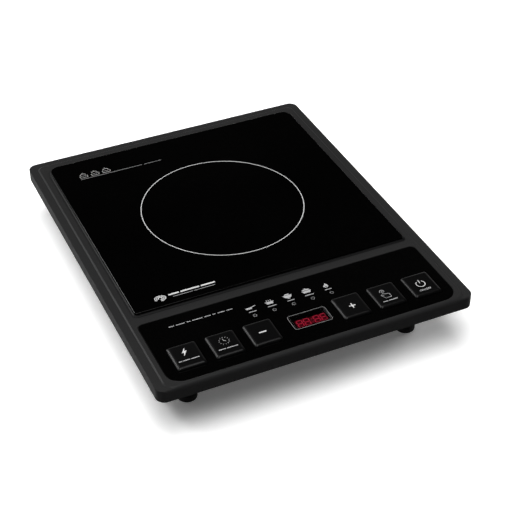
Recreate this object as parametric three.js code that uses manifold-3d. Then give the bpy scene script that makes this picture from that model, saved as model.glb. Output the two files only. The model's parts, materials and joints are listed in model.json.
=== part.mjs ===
// A portable single-zone induction cooktop, built piece by piece as it is put together.
// Millimetres. +X is right, +Y is back, +Z is up. The origin is on the table, under the middle of the body.
// Each piece is modelled about its own origin, then placed by its mesh and by the group of its unit.

import * as THREE from 'three';
import { mergeVertices } from 'three/addons/utils/BufferGeometryUtils.js';
import Module from 'manifold-3d';

const wasm = await Module();
wasm.setup();

// ---------------------------------------------------------------- driving dimensions

// Clearances
const FIT = 0.3; // between two pieces that seat on or in each other
const SLIP = 0.35; // round a cap or post that passes through a plate

// Upper housing
const BODY_WIDTH = 280;
const BODY_DEPTH = 345;
const CORNER_RADIUS = 8; // outer corners, seen from above
const RIM_HEIGHT = 53.5; // table to the flat outer rim
const SKIRT_HEIGHT = 11.5;
const SHELL_WALL = 2.5;
const DECK_THICKNESS = 3.6;
const STEP_INSET = 6.9; // width of the flat rim outside the step
const STEP_RUN = 1.6;
const STEP_RISE = 1;
const STEP_BACK_RADIUS = 6;
const STEP_FRONT_RADIUS = 10;
const STEP_FRONT_INSET = 0.5;
const FRONT_ROLL_RADIUS = 3.5; // rounding of the front top edge

// Control panel
const PANEL_DEPTH = 76.1;
const PANEL_THICKNESS = 1.5;
const PANEL_SIDE_INSET = 12.4; // body's side face to the panel
const PANEL_FRONT_INSET = 4.7;
const PANEL_FRONT_RADIUS = 13;
const PANEL_BACK_RADIUS = 4.5;
const PANEL_SINK = 0.3; // below the deck

// Glass plate and its bead
const GLASS_THICKNESS = 4;
const GLASS_SIDE_INSET = 15.7; // body's side face to the glass
const GLASS_BACK_INSET = 18;
const GLASS_TO_PANEL = 11.2;
const GLASS_BACK_RADIUS = 9;
const GLASS_FRONT_RADIUS = 2;
const GLASS_SINK = 1; // depth of the glass below the deck
const GLASS_CHAMFER = 0.5;
const GLASS_LEDGE = 12; // width of the ledge that carries the glass
const BEAD_GAP = 1.2; // between the glass and the wall of its recess
const BEAD_SPREAD = 1.1; // how far the bead runs out over the deck
const BEAD_RISE = 1.2; // how far the bead climbs above the deck
const BEAD_EDGE = 0.2; // thickness of the bead's outer edge

// Push buttons
const CAP_DEPTH = 28;
const CAP_RADIUS = 1.5;
const CAP_RISE = 2.4; // above the panel
const CAP_CHAMFER = 1;
const CAP_WALL = 1.6;
const CAP_FLANGE = 1.5; // how far the flange stands out all round
const CAP_FLANGE_THICKNESS = 1.2;
const CAP_GAP = 8.4; // between neighbouring caps
const CAP_ROW = 25; // panel's front edge to the middle of the row
const CAP_LEFT_MARGIN = 22.9; // panel's side edge to the middle of the outer button
const CAP_RIGHT_MARGIN = 21.9;
const MINUS_TO_WINDOW = 15.05; // edge of the minus cap to the edge of the window
const PLUS_TO_WINDOW = 9.25;
const CAP_TRAVEL = 0.8;
const STEM_RADIUS = 2.6;

// Tact switches
const SWITCH_SIDE = 6;
const SWITCH_HEIGHT = 3.3;
const PLUNGER_RADIUS = 1.75;
const PLUNGER_RISE = 1.1; // above the switch body
const PLUNGER_DEPTH = 1.5; // inside the switch body
const SWITCH_DROP = 4.5; // underside of the cap's flange to the switch body

// Control board
const CONTROL_BOARD_MARGIN = 15.6; // panel's side edge to the board
const CONTROL_BOARD_DEPTH = 50;
const CONTROL_BOARD_FRONT_INSET = 15.5; // body's front face to the board
const BOARD_THICKNESS = 1.6;
const STAKE_RADIUS = 1.3;
const STAKE_BOSS_RADIUS = 2.4;
const STAKE_STAND = 1; // how far a melted-over peg stands out of its board
const BACK_STAKE_INSET = [8, 6]; // from the board's side and back edges
const FRONT_STAKE_INSET = 4;

// Display and indicator lamps, placed from the middle of the button row
const WINDOW_WIDTH = 31;
const WINDOW_DEPTH = 15.8;
const WINDOW_RADIUS = 1.5;
const WINDOW_X = 3.4;
const WINDOW_Y = 2.1;
const WINDOW_LEDGE = 1.4;
const DISPLAY_HEIGHT = 7.6;
const DISPLAY_TO_WINDOW = 1; // air gap under the window
const PIN_THICKNESS = 0.8;
const LAMP_COUNT = 5;
const LAMP_PITCH = 17.45;
const LAMP_FIRST_X = -35.3;
const LAMP_Y = 23.4;
const LAMP_RADIUS = 1.7;
const GUIDE_DEPTH = 5;
const GUIDE_THICKNESS = 2.6;
const GUIDE_LIFT = 2; // control board's switches level to the bar of the light guide

// Ribbon cable
const RIBBON_WIDTH = 16;
const RIBBON_THICKNESS = 0.9;
const RIBBON_X = -30;
const RIBBON_END_INSET = 8; // from each board's edge

// Lower housing
const TRAY_BOTTOM = 6.5;
const TRAY_WALL = 2.4;
const TRAY_SIDE_INSET = 6; // body's side face to the top of the tray's side wall
const TRAY_SIDE_SLOPE = 7; // how far each side leans in towards the bottom
const TRAY_FRONT_INSET = 6.5;
const TRAY_FRONT_SLOPE = 30;
const TRAY_BACK_INSET = 9.5;
const TRAY_RADIUS = 11;
const TRAY_CHAMFER = 3;
const TRAY_FLANGE_THICKNESS = 2;

// Feet
const FOOT_RADIUS = 8.5;
const FOOT_HEIGHT = 5.5;
const FOOT_SIDE_INSET = 38.7; // body's side face to the middle of the foot
const FOOT_END_INSET = 42.5; // body's front or back face to the middle of the foot
const FOOT_EDGE = 1.2;
const FOOT_PEG_RADIUS = 3;
const FOOT_PEG_LENGTH = 5;
const FOOT_PAD_HEIGHT = 8; // the housing's pad over each foot

// Screws
const SCREW_FRONT_INSET = [19, 54.5]; // from the body's side face and front face
const SCREW_BACK_INSET = [22, 22.5]; // from the body's side face and back face
const SCREW_WELL_RADIUS = 3.6;
const SCREW_TUBE_WALL = 1.6;
const SCREW_SEAT_THICKNESS = 3;
const SCREW_SHANK_RADIUS = 1.5;
const SCREW_SHANK_LENGTH = 11;
const SCREW_HEAD_RADIUS = 2.9;
const SCREW_HEAD_HEIGHT = 2;
const SCREW_BOSS_RADIUS = 4;
const SCREW_SLOT = 0.9;

// Air grilles
const SLOT_WIDTH = 3;
const INTAKE_PITCH = 6;
const INTAKE_RIB = 4; // rib left across the middle of the intake
const VENT_SLOTS = 7;
const VENT_LENGTH = 34;
const VENT_X = 66; // from the middle of the main board
const VENT_Y = -31;
const LOUVRE_HEIGHT = 17;
const LOUVRE_PITCH = 8;
const LOUVRE_BASE = 15; // table to the bottom of the louvres
const BACK_LOUVRES = 14;
const BACK_LOUVRE_X = -25;
const SIDE_LOUVRES = 8;
const SIDE_LOUVRE_INSET = 88.5; // body's back face to the middle of the row

// Cord inlet
const INLET_SIDE_INSET = 45; // body's side face to the middle of the inlet
const INLET_HEIGHT = 26;
const GLAND_BORE_RADIUS = 4;
const GLAND_RADIUS = 6.4;
const GLAND_FLANGE_RADIUS = 9;
const GLAND_FLANGE_THICKNESS = 1.8;
const GLAND_NOSE_LENGTH = 4;
const GLAND_NOSE_WALL = 1.2;
const GLAND_EDGE = 0.6;

// Main board, and the parts on it. An inset is from the board's nearer side edge to the middle of the part,
// a shift is from the middle of the heatsink, x and y are from the middle of the board, and below is the room
// that the part leaves under the ferrites.
const MAIN_BOARD_WIDTH = 160;
const MAIN_BOARD_DEPTH = 114;
const HEATSINK_TO_FAN = 32; // back of the fins to the fan
const MAIN_BOARD_LIFT = 5; // tray floor to the board
const MAIN_STAKE_INSET = 5;
const HEATSINK = { inset: 44, y: 28, width: 70, depth: 27, below: 3.9, plate: 4, fins: 5, fin: 1.6 };
const IGBT = { shift: -18, width: 16, below: 4.9, thickness: 5, legs: 3 };
const RECTIFIER = { shift: 16, width: 30, below: 7.9, thickness: 5, legs: 4 };
const LEG = { width: 1.4, thickness: 0.8, length: 4 };
const RESONANT = { inset: 30, y: 37, width: 42, depth: 20, below: 1.9 };
const FILTER = { inset: 30, y: 9, width: 40, depth: 18, below: 3.9 };
const CASING_RADIUS = 1.2;
const CASING_CHAMFER = 0.8;
const TRANSFORMER = { x: 14, y: -33, width: 22, depth: 18, below: 6.9, core: 9, bobbin: 13.6, lip: 3 };
const CHOKE = { inset: 24, y: -31, ring: 12, tube: 5 };
const FUSE = { x: -50, y: -47, length: 20, radius: 2.6, cap: 5, step: 0.3 };
const OUTER_TERMINAL = { inset: 8, y: 7 };
const INNER_TERMINAL = { x: 15, y: 5 };
const TERMINAL_SIDE = 7;
const TERMINAL_HEIGHT = 6;

// Induction coil unit
const ZONE_SHIFT = 7.8; // middle of the cooking zone, in front of the middle of the glass
const FORMER_TO_LEDGE = 11.7; // rim of the former to the ledge under the glass
const COIL_INNER_RADIUS = 22;
const COIL_THICKNESS = 4.2;
const COIL_TO_GLASS = 1.8;
const COIL_TO_RIM = 2;
const FORMER_BASE = 1.8;
const FORMER_WALL = 2;
const HUB_RADIUS = 11;
const HUB_WALL = 1.8;
const FERRITE_COUNT = 4;
const FERRITE_END_INSET = 7; // from the outer turn of the coil
const FERRITE_WIDTH = 13;
const FERRITE_HEIGHT = 4.4;
const FERRITE_START = 27; // from the middle of the zone
const FERRITE_RIB = 1.4;
const EAR_REACH = 11; // edge of the former to each fixing screw
const EAR_WIDTH = 13;
const BACK_EAR_ANGLE = 75;
const SIDE_POST_TO_BOARD = 8; // least distance of the side posts from the main board
const SIDE_POST_SHIFT = 33.2; // side posts in front of the middle of the zone
const POST_RADIUS = 4;
const LEAD_RADIUS = 2;
const OUTER_LEAD_ANGLE = 215;
const INNER_LEAD_ANGLE = 300;
const SENSOR_TAPER = 0.6;

// Fan
const FAN_TO_FOOT_PAD = 2.8;
const FAN_BACK_INSET = 74.5; // body's back face to the middle of the fan
const FAN_SIZE = 80;
const FAN_HEIGHT = 20;
const FAN_CORNER_RADIUS = 5;
const FAN_BORE_RADIUS = 37.5;
const FAN_TIP_CLEARANCE = 1.5;
const FAN_HUB_RADIUS = 15;
const FAN_HUB_WALL = 1.8;
const FAN_HUB_HEIGHT = 12;
const FAN_HUB_LIFT = 1.2; // above the struts
const FAN_BLADES = 7;
const FAN_BLADE_CHORD = 17;
const FAN_BLADE_THICKNESS = 1.4;
const FAN_BLADE_PITCH = 38; // degrees from flat
const FAN_STRUTS = 4;
const FAN_STRUT_WIDTH = 4;
const FAN_STRUT_THICKNESS = 2.4;
const FAN_SHAFT_RADIUS = 1.5;
const FAN_BEARING_RADIUS = 3;
const FAN_BEARING_RISE = 6;
const FAN_STAKE_INSET = 4.6;
const FAN_STAKE_LENGTH = 5;

// Flats per turn of the round faces
const WIDE_STEPS = 48;
const ROUND_STEPS = 24;
const GLAND_STEPS = 16;
const SMALL_STEPS = 12;
const PEG_STEPS = 8;

// ---------------------------------------------------------------- places that follow from them

const HALF_WIDTH = BODY_WIDTH / 2;
const HALF_DEPTH = BODY_DEPTH / 2;

// Heights above the table
const SKIRT_BOTTOM = RIM_HEIGHT - SKIRT_HEIGHT;
const DECK_TOP = RIM_HEIGHT + STEP_RISE;
const DECK_UNDERSIDE = DECK_TOP - DECK_THICKNESS;
const GLASS_BOTTOM = DECK_TOP - GLASS_SINK;
const PANEL_TOP = DECK_TOP - PANEL_SINK;
const PANEL_BOTTOM = PANEL_TOP - PANEL_THICKNESS;
const FLANGE_TOP = DECK_UNDERSIDE - FIT;
const FLANGE_BOTTOM = FLANGE_TOP - CAP_FLANGE_THICKNESS;
const SWITCH_TOP = FLANGE_BOTTOM - SWITCH_DROP;
const SWITCH_BOTTOM = SWITCH_TOP - SWITCH_HEIGHT;
const CONTROL_BOARD_TOP = SWITCH_BOTTOM - FIT;
const CONTROL_BOARD_BOTTOM = CONTROL_BOARD_TOP - BOARD_THICKNESS;
const TRAY_TOP = SKIRT_BOTTOM + FIT + TRAY_FLANGE_THICKNESS;
const TRAY_FLOOR = TRAY_BOTTOM + TRAY_WALL;
const SCREW_SEAT = SKIRT_BOTTOM - SCREW_SEAT_THICKNESS;
const MAIN_BOARD_BOTTOM = TRAY_FLOOR + MAIN_BOARD_LIFT;
const MAIN_BOARD_TOP = MAIN_BOARD_BOTTOM + BOARD_THICKNESS;
const COIL_TOP = GLASS_BOTTOM - COIL_TO_GLASS;
const COIL_BOTTOM = COIL_TOP - COIL_THICKNESS;
const FORMER_TOP = COIL_BOTTOM - FIT;
const FORMER_BOTTOM = FORMER_TOP - FORMER_BASE;
const FERRITE_TOP = FORMER_BOTTOM - FIT;
const POST_TOP = FORMER_BOTTOM - FIT;
const HEADROOM = FERRITE_TOP - FERRITE_HEIGHT - MAIN_BOARD_TOP - FIT;
const FAN_BOTTOM = TRAY_FLOOR + FIT;

// Widths and places seen from above
const PANEL_WIDTH = BODY_WIDTH - 2 * PANEL_SIDE_INSET;
const PANEL_FRONT = -HALF_DEPTH + PANEL_FRONT_INSET;
const PANEL_Y = PANEL_FRONT + PANEL_DEPTH / 2;
const GLASS_WIDTH = BODY_WIDTH - 2 * GLASS_SIDE_INSET;
const GLASS_FRONT = PANEL_FRONT + PANEL_DEPTH + GLASS_TO_PANEL;
const GLASS_BACK = HALF_DEPTH - GLASS_BACK_INSET;
const GLASS_DEPTH = GLASS_BACK - GLASS_FRONT;
const GLASS_Y = (GLASS_FRONT + GLASS_BACK) / 2;
const ZONE_Y = GLASS_Y - ZONE_SHIFT;
const ROW_Y = PANEL_FRONT + CAP_ROW;
const CONTROL_BOARD_WIDTH = PANEL_WIDTH - 2 * CONTROL_BOARD_MARGIN;
const CONTROL_BOARD_Y = -HALF_DEPTH + CONTROL_BOARD_FRONT_INSET + CONTROL_BOARD_DEPTH / 2;
const TRAY_HALF_WIDTH = HALF_WIDTH - TRAY_SIDE_INSET;
const TRAY_FRONT = -HALF_DEPTH + TRAY_FRONT_INSET;
const TRAY_BACK = HALF_DEPTH - TRAY_BACK_INSET;
const INLET_X = HALF_WIDTH - INLET_SIDE_INSET;
const FAN_X = -HALF_WIDTH + FOOT_SIDE_INSET + FOOT_RADIUS + FAN_TO_FOOT_PAD + FAN_SIZE / 2;
const FAN_Y = HALF_DEPTH - FAN_BACK_INSET;
const MAIN_HALF_WIDTH = MAIN_BOARD_WIDTH / 2;
const HEATSINK_X = HEATSINK.inset - MAIN_HALF_WIDTH;
const OUTER_TERMINAL_X = OUTER_TERMINAL.inset - MAIN_HALF_WIDTH;
const FINS_BACK = FAN_Y - FAN_SIZE / 2 - HEATSINK_TO_FAN;
const MAIN_BOARD_Y = FINS_BACK - HEATSINK.depth - HEATSINK.y;
const FAN_BLADE_RADIUS = FAN_BORE_RADIUS - FAN_TIP_CLEARANCE;
const FORMER_RADIUS = Math.min(GLASS_WIDTH / 2, ZONE_Y - GLASS_FRONT) - GLASS_LEDGE - FORMER_TO_LEDGE;
const COIL_OUTER_RADIUS = FORMER_RADIUS - FORMER_WALL - COIL_TO_RIM;
const FERRITE_LENGTH = COIL_OUTER_RADIUS - FERRITE_END_INSET - FERRITE_START;

const LEFT_CAP = -PANEL_WIDTH / 2 + CAP_LEFT_MARGIN;
const RIGHT_CAP = PANEL_WIDTH / 2 - CAP_RIGHT_MARGIN;
// From the middle of an outer cap to the far edge of the inner one there are two and a half caps and two gaps.
const LEFT_ROW = WINDOW_X - WINDOW_WIDTH / 2 - MINUS_TO_WINDOW - LEFT_CAP;
const RIGHT_ROW = RIGHT_CAP - WINDOW_X - WINDOW_WIDTH / 2 - PLUS_TO_WINDOW;
const CAP_WIDTH = (Math.min(LEFT_ROW, RIGHT_ROW) - 2 * CAP_GAP) / 2.5;
const LEFT_PITCH = (LEFT_ROW - CAP_WIDTH / 2) / 2;
const RIGHT_PITCH = (RIGHT_ROW - CAP_WIDTH / 2) / 2;
const CAPS = [
  ['power_level', LEFT_CAP],
  ['timer', LEFT_CAP + LEFT_PITCH],
  ['minus', LEFT_CAP + 2 * LEFT_PITCH],
  ['plus', RIGHT_CAP - 2 * RIGHT_PITCH],
  ['function', RIGHT_CAP - RIGHT_PITCH],
  ['on_off', RIGHT_CAP],
];
const FEET = corners(HALF_WIDTH - FOOT_SIDE_INSET, -HALF_DEPTH + FOOT_END_INSET, HALF_DEPTH - FOOT_END_INSET);
const SCREWS = corners(
  [HALF_WIDTH - SCREW_FRONT_INSET[0], HALF_WIDTH - SCREW_BACK_INSET[0]],
  -HALF_DEPTH + SCREW_FRONT_INSET[1],
  HALF_DEPTH - SCREW_BACK_INSET[1],
);
const SIDE_POST_X = Math.max(
  Math.sqrt((FORMER_RADIUS + EAR_REACH) ** 2 - SIDE_POST_SHIFT ** 2),
  MAIN_BOARD_WIDTH / 2 + SIDE_POST_TO_BOARD,
);
const POSTS = [
  onCircle(FORMER_RADIUS + EAR_REACH, BACK_EAR_ANGLE),
  [-SIDE_POST_X, -SIDE_POST_SHIFT],
  [SIDE_POST_X, -SIDE_POST_SHIFT],
];
// The front pegs stand midway between the display's window and the flange of the next cap.
const CONTROL_STAKES = [[-1, MINUS_TO_WINDOW], [1, PLUS_TO_WINDOW]].flatMap(([side, toCap]) => [
  [side * (CONTROL_BOARD_WIDTH / 2 - BACK_STAKE_INSET[0]), CONTROL_BOARD_DEPTH / 2 - BACK_STAKE_INSET[1]],
  [
    WINDOW_X + side * (WINDOW_WIDTH + toCap - CAP_FLANGE) / 2,
    -CONTROL_BOARD_DEPTH / 2 + FRONT_STAKE_INSET,
  ],
]);
const MAIN_STAKES = fourCorners(MAIN_BOARD_WIDTH / 2 - MAIN_STAKE_INSET, MAIN_BOARD_DEPTH / 2 - MAIN_STAKE_INSET);
const FAN_STAKES = fourCorners(FAN_SIZE / 2 - FAN_STAKE_INSET, FAN_SIZE / 2 - FAN_STAKE_INSET);

// ---------------------------------------------------------------- materials

const PLASTIC = finish(0x2b2b2d, 0.62, 0);
const GLOSS_BLACK = finish(0x050506, 0.12, 0);
const CAP_PLASTIC = finish(0x161618, 0.4, 0);
const SMOKED = finish(0x1a0505, 0.1, 0);
const CLEAR = finish(0xcfd4d6, 0.2, 0);
const RUBBER = finish(0x1b1b1b, 0.85, 0);
const SILICONE = finish(0x0b0b0b, 0.5, 0);
const BOARD = finish(0x1f5a32, 0.5, 0);
const ALUMINIUM = finish(0xb4b7ba, 0.35, 1);
const STEEL = finish(0xa9abad, 0.3, 1);
const COPPER = finish(0xb5713a, 0.35, 1);
const EPOXY = finish(0x18181a, 0.45, 0);
const CASING = finish(0xc9a24a, 0.5, 0);
const FERRITE = finish(0x303236, 0.7, 0);
const CREAM = finish(0xd8d2c2, 0.6, 0);
const SLEEVE = finish(0x8a2b20, 0.8, 0);
const RIBBON = finish(0xb9bcc0, 0.6, 0);

// ---------------------------------------------------------------- helpers

function finish(colour, roughness, metalness) {
  return new THREE.MeshStandardMaterial({ color: colour, roughness, metalness });
}

function onCircle(radius, degrees, x = 0, y = 0) {
  const angle = THREE.MathUtils.degToRad(degrees);
  return [x + radius * Math.cos(angle), y + radius * Math.sin(angle)];
}

// The four named corners of the body, front pair first.
function corners(spread, frontY, backY) {
  const [front, back] = Array.isArray(spread) ? spread : [spread, spread];
  return [
    ['front_left', -front, frontY],
    ['front_right', front, frontY],
    ['back_left', -back, backY],
    ['back_right', back, backY],
  ];
}

function fourCorners(x, y) {
  return [[-x, -y], [x, -y], [-x, y], [x, y]];
}

// A closed three.js geometry as a solid that can be joined and cut.
function solidFrom(geometry) {
  const bare = geometry.index ? geometry.toNonIndexed() : geometry.clone();
  bare.deleteAttribute('normal');
  bare.deleteAttribute('uv');
  const merged = mergeVertices(bare, 1e-4);
  const vertProperties = new Float32Array(merged.attributes.position.array);
  const triVerts = new Uint32Array(merged.index.array);
  return new wasm.Manifold(new wasm.Mesh({ numProp: 3, vertProperties, triVerts }));
}

function geometryFrom(solid) {
  const mesh = solid.getMesh();
  const geometry = new THREE.BufferGeometry();
  geometry.setAttribute('position', new THREE.BufferAttribute(mesh.vertProperties, 3));
  geometry.setIndex(new THREE.BufferAttribute(mesh.triVerts, 1));
  geometry.computeVertexNormals();
  return geometry;
}

function unit(x, y, z) {
  const group = new THREE.Group();
  group.position.set(x, y, z);
  cooktop.add(group);
  return group;
}

function addPiece(parent, name, solid, material, x = 0, y = 0, z = 0) {
  const mesh = new THREE.Mesh(geometryFrom(solid), material);
  mesh.name = name;
  mesh.position.set(x, y, z);
  parent.add(mesh);
  return mesh;
}

function joined(first, others) {
  return others.reduce((sum, other) => sum.add(other), first);
}

function cut(first, others) {
  return others.reduce((rest, other) => rest.subtract(other), first);
}

function polygon(points) {
  return new THREE.Shape(points.map(([x, y]) => new THREE.Vector2(x, y)));
}

// The flats of a rounded corner: more of them where the radius is larger.
function cornerFlats(radius) {
  if (radius > 8) {
    return 6;
  }
  return radius > 3 ? 4 : 2;
}

// A rectangle with rounded corners, centred on the origin.
function roundedRectangle(width, depth, backRadius, frontRadius = backRadius) {
  const quarters = [
    [1, -1, frontRadius, -90],
    [1, 1, backRadius, 0],
    [-1, 1, backRadius, 90],
    [-1, -1, frontRadius, 180],
  ];
  return polygon(quarters.flatMap(([side, end, radius, start]) => {
    const flats = cornerFlats(radius);
    const x = side * (width / 2 - radius);
    const y = end * (depth / 2 - radius);
    return Array.from({ length: flats + 1 }, (unused, step) => (
      onCircle(radius, start + step * 90 / flats, x, y)
    ));
  }));
}

// An upright prism of a shape, moved to a place.
function prism(shape, bottom, top, x = 0, y = 0) {
  const options = { depth: top - bottom, bevelEnabled: false };
  return solidFrom(new THREE.ExtrudeGeometry(shape, options).translate(x, y, bottom));
}

function box(width, depth, bottom, top, x = 0, y = 0) {
  const geometry = new THREE.BoxGeometry(width, depth, top - bottom);
  return solidFrom(geometry.translate(x, y, (bottom + top) / 2));
}

function cylinder(radius, bottom, top, x = 0, y = 0, steps = SMALL_STEPS) {
  const geometry = new THREE.CylinderGeometry(radius, radius, top - bottom, steps);
  geometry.rotateX(Math.PI / 2);
  return solidFrom(geometry.translate(x, y, (bottom + top) / 2));
}

// An upright prism whose top part, above the shoulder, leans in by the inset.
function shoulderedPrism(shape, bottom, shoulder, top, inset, x = 0, y = 0) {
  const rise = top - shoulder;
  const options = {
    depth: shoulder - bottom,
    bevelThickness: rise,
    bevelSize: inset,
    bevelOffset: -inset,
    bevelSegments: 1,
  };
  const whole = solidFrom(new THREE.ExtrudeGeometry(shape, options).translate(x, y, bottom));
  const below = box(2 * BODY_WIDTH, 2 * BODY_DEPTH, bottom - 2 * rise - 1, bottom, x, y);
  return whole.subtract(below);
}

// A prism of a side outline in Y and Z, running along X.
function sidewaysPrism(points, fromX, toX) {
  const options = { depth: toX - fromX, bevelEnabled: false };
  const geometry = new THREE.ExtrudeGeometry(polygon(points), options);
  geometry.rotateZ(Math.PI / 2).rotateY(Math.PI / 2);
  return solidFrom(geometry.translate(fromX, 0, 0));
}

// A prism of an outline in X and Z, running along Y.
function lengthwisePrism(points, fromY, toY) {
  const options = { depth: toY - fromY, bevelEnabled: false };
  const geometry = new THREE.ExtrudeGeometry(polygon(points), options);
  geometry.rotateX(Math.PI / 2);
  return solidFrom(geometry.translate(0, toY, 0));
}

// A turned piece about Z: the profile gives radius and height, from the bottom outwards and up.
function turned(points, steps = ROUND_STEPS) {
  const profile = points.map(([radius, height]) => new THREE.Vector2(radius, height));
  return solidFrom(new THREE.LatheGeometry(profile, steps).rotateX(Math.PI / 2));
}

// A turned ring of rectangular section.
function ring(inner, outer, bottom, top, steps) {
  return turned([[inner, bottom], [outer, bottom], [outer, top], [inner, top], [inner, bottom]], steps);
}

// A bar that lies along a ray from the origin, between two radii.
function radialBar(start, end, width, bottom, top, degrees, sideways = 0) {
  return box(end - start, width, bottom, top, (start + end) / 2, sideways).rotate([0, 0, degrees]);
}

// A round lead along a smooth curve through chosen points.
function leadAlong(points, steps) {
  const path = new THREE.CatmullRomCurve3(points.map((point) => new THREE.Vector3(...point)));
  const section = new THREE.Shape().absarc(0, 0, LEAD_RADIUS, 0, 2 * Math.PI, false);
  const options = { steps, extrudePath: path, curveSegments: 4, bevelEnabled: false };
  return solidFrom(new THREE.ExtrudeGeometry(section, options));
}

function rowOf(count, pitch, make) {
  return Array.from({ length: count }, (unused, index) => make((index - (count - 1) / 2) * pitch));
}

// ---------------------------------------------------------------- outlines that pieces share

function bodyOutline(inset) {
  return roundedRectangle(BODY_WIDTH - 2 * inset, BODY_DEPTH - 2 * inset, CORNER_RADIUS - inset);
}

function glassOutline(offset) {
  return roundedRectangle(
    GLASS_WIDTH + 2 * offset,
    GLASS_DEPTH + 2 * offset,
    Math.max(GLASS_BACK_RADIUS + offset, 1),
    Math.max(GLASS_FRONT_RADIUS + offset, 1),
  );
}

function panelOutline(offset) {
  return roundedRectangle(
    PANEL_WIDTH + 2 * offset,
    PANEL_DEPTH + 2 * offset,
    PANEL_BACK_RADIUS + offset,
    PANEL_FRONT_RADIUS + offset,
  );
}

function capOutline(offset) {
  return roundedRectangle(CAP_WIDTH + 2 * offset, CAP_DEPTH + 2 * offset, CAP_RADIUS + Math.max(offset, 0));
}

function windowOutline(offset) {
  return roundedRectangle(WINDOW_WIDTH + 2 * offset, WINDOW_DEPTH + 2 * offset, WINDOW_RADIUS);
}

function lampX(index) {
  return LAMP_FIRST_X + index * LAMP_PITCH;
}

// The holes for the buttons and lamps, which the deck and the panel share, about the button row.
function controlHoles(bottom, top) {
  const capHoles = CAPS.map(([, x]) => prism(capOutline(SLIP), bottom, top, x));
  const lampHoles = Array.from({ length: LAMP_COUNT }, (unused, index) => (
    cylinder(LAMP_RADIUS + SLIP, bottom, top, lampX(index), LAMP_Y, PEG_STEPS)
  ));
  return [...capHoles, ...lampHoles];
}

// ---------------------------------------------------------------- upper housing

// The deck inside the step. Its front edge runs out into the rolled front of the body.
function raisedDeck() {
  const width = BODY_WIDTH - 2 * STEP_INSET;
  const depth = BODY_DEPTH - STEP_INSET - STEP_FRONT_INSET;
  const shape = roundedRectangle(width, depth, STEP_BACK_RADIUS, STEP_FRONT_RADIUS);
  const y = (STEP_FRONT_INSET - STEP_INSET) / 2;
  return shoulderedPrism(shape, SKIRT_BOTTOM, RIM_HEIGHT, DECK_TOP, STEP_RUN, 0, y);
}

// What the rounding takes off the front top edge.
function frontRollCut() {
  const centreY = -HALF_DEPTH + FRONT_ROLL_RADIUS;
  const centreZ = DECK_TOP - FRONT_ROLL_RADIUS;
  const length = BODY_WIDTH + 2;
  const corner = box(length, 2 * FRONT_ROLL_RADIUS, centreZ, DECK_TOP + 1, 0, centreY - FRONT_ROLL_RADIUS);
  const roll = new THREE.CylinderGeometry(FRONT_ROLL_RADIUS, FRONT_ROLL_RADIUS, length + 2, 32);
  roll.rotateZ(Math.PI / 2).translate(0, centreY, centreZ);
  return corner.subtract(solidFrom(roll));
}

// A boss under the deck that the control board hangs from, with the peg that is melted over behind it.
function boardBoss([x, y]) {
  const boss = cylinder(STAKE_BOSS_RADIUS, CONTROL_BOARD_TOP + FIT, DECK_UNDERSIDE + FIT, x, y + CONTROL_BOARD_Y);
  const pegBottom = CONTROL_BOARD_BOTTOM - STAKE_STAND;
  return boss.add(cylinder(STAKE_RADIUS, pegBottom, CONTROL_BOARD_TOP + 1, x, y + CONTROL_BOARD_Y, PEG_STEPS));
}

function upperHousing() {
  const above = DECK_TOP + 2;
  const below = DECK_UNDERSIDE - 1;
  const shell = prism(bodyOutline(0), SKIRT_BOTTOM, RIM_HEIGHT).add(raisedDeck()).subtract(frontRollCut());
  const open = cut(shell, [
    prism(bodyOutline(SHELL_WALL), SKIRT_BOTTOM - 1, DECK_UNDERSIDE),
    prism(glassOutline(BEAD_GAP), GLASS_BOTTOM - FIT, above, 0, GLASS_Y),
    prism(glassOutline(-GLASS_LEDGE), below, above, 0, GLASS_Y),
    prism(panelOutline(SLIP), PANEL_BOTTOM - FIT, above, 0, PANEL_Y),
    prism(windowOutline(-WINDOW_LEDGE), below, above, WINDOW_X, ROW_Y + WINDOW_Y),
    ...controlHoles(below, above).map((hole) => hole.translate([0, ROW_Y, 0])),
  ]);
  const screwBosses = SCREWS.map(([, x, y]) => (
    cylinder(SCREW_BOSS_RADIUS, SKIRT_BOTTOM + FIT, DECK_UNDERSIDE + FIT, x, y)
  ));
  const screwBores = SCREWS.map(([, x, y]) => (
    cylinder(SCREW_SHANK_RADIUS + FIT, SKIRT_BOTTOM, DECK_UNDERSIDE, x, y, PEG_STEPS)
  ));
  return cut(joined(open, [...screwBosses, ...CONTROL_STAKES.map(boardBoss)]), screwBores);
}

// ---------------------------------------------------------------- cooking surface

function glassPlate() {
  const shoulder = GLASS_THICKNESS - GLASS_CHAMFER;
  return shoulderedPrism(glassOutline(0), 0, shoulder, GLASS_THICKNESS, GLASS_CHAMFER);
}

// Silicone that fills the gap round the glass and stands up against it as a fillet.
function glassBead() {
  const lip = GLASS_SINK + FIT;
  const spread = BEAD_GAP + BEAD_SPREAD;
  const core = prism(glassOutline(BEAD_GAP - FIT), 0, lip + BEAD_EDGE);
  const fillet = shoulderedPrism(
    glassOutline(spread), lip, lip + BEAD_EDGE, GLASS_SINK + BEAD_RISE, spread - 2 * FIT,
  );
  return core.add(fillet).subtract(prism(glassOutline(FIT), -1, GLASS_THICKNESS));
}

// ---------------------------------------------------------------- controls, about the button row

function controlPanel() {
  const plate = prism(panelOutline(0), 0, PANEL_THICKNESS, 0, PANEL_Y - ROW_Y);
  const window = prism(windowOutline(FIT), -1, PANEL_THICKNESS + 1, WINDOW_X, WINDOW_Y);
  return cut(plate, [...controlHoles(-1, PANEL_THICKNESS + 1), window]);
}

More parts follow.
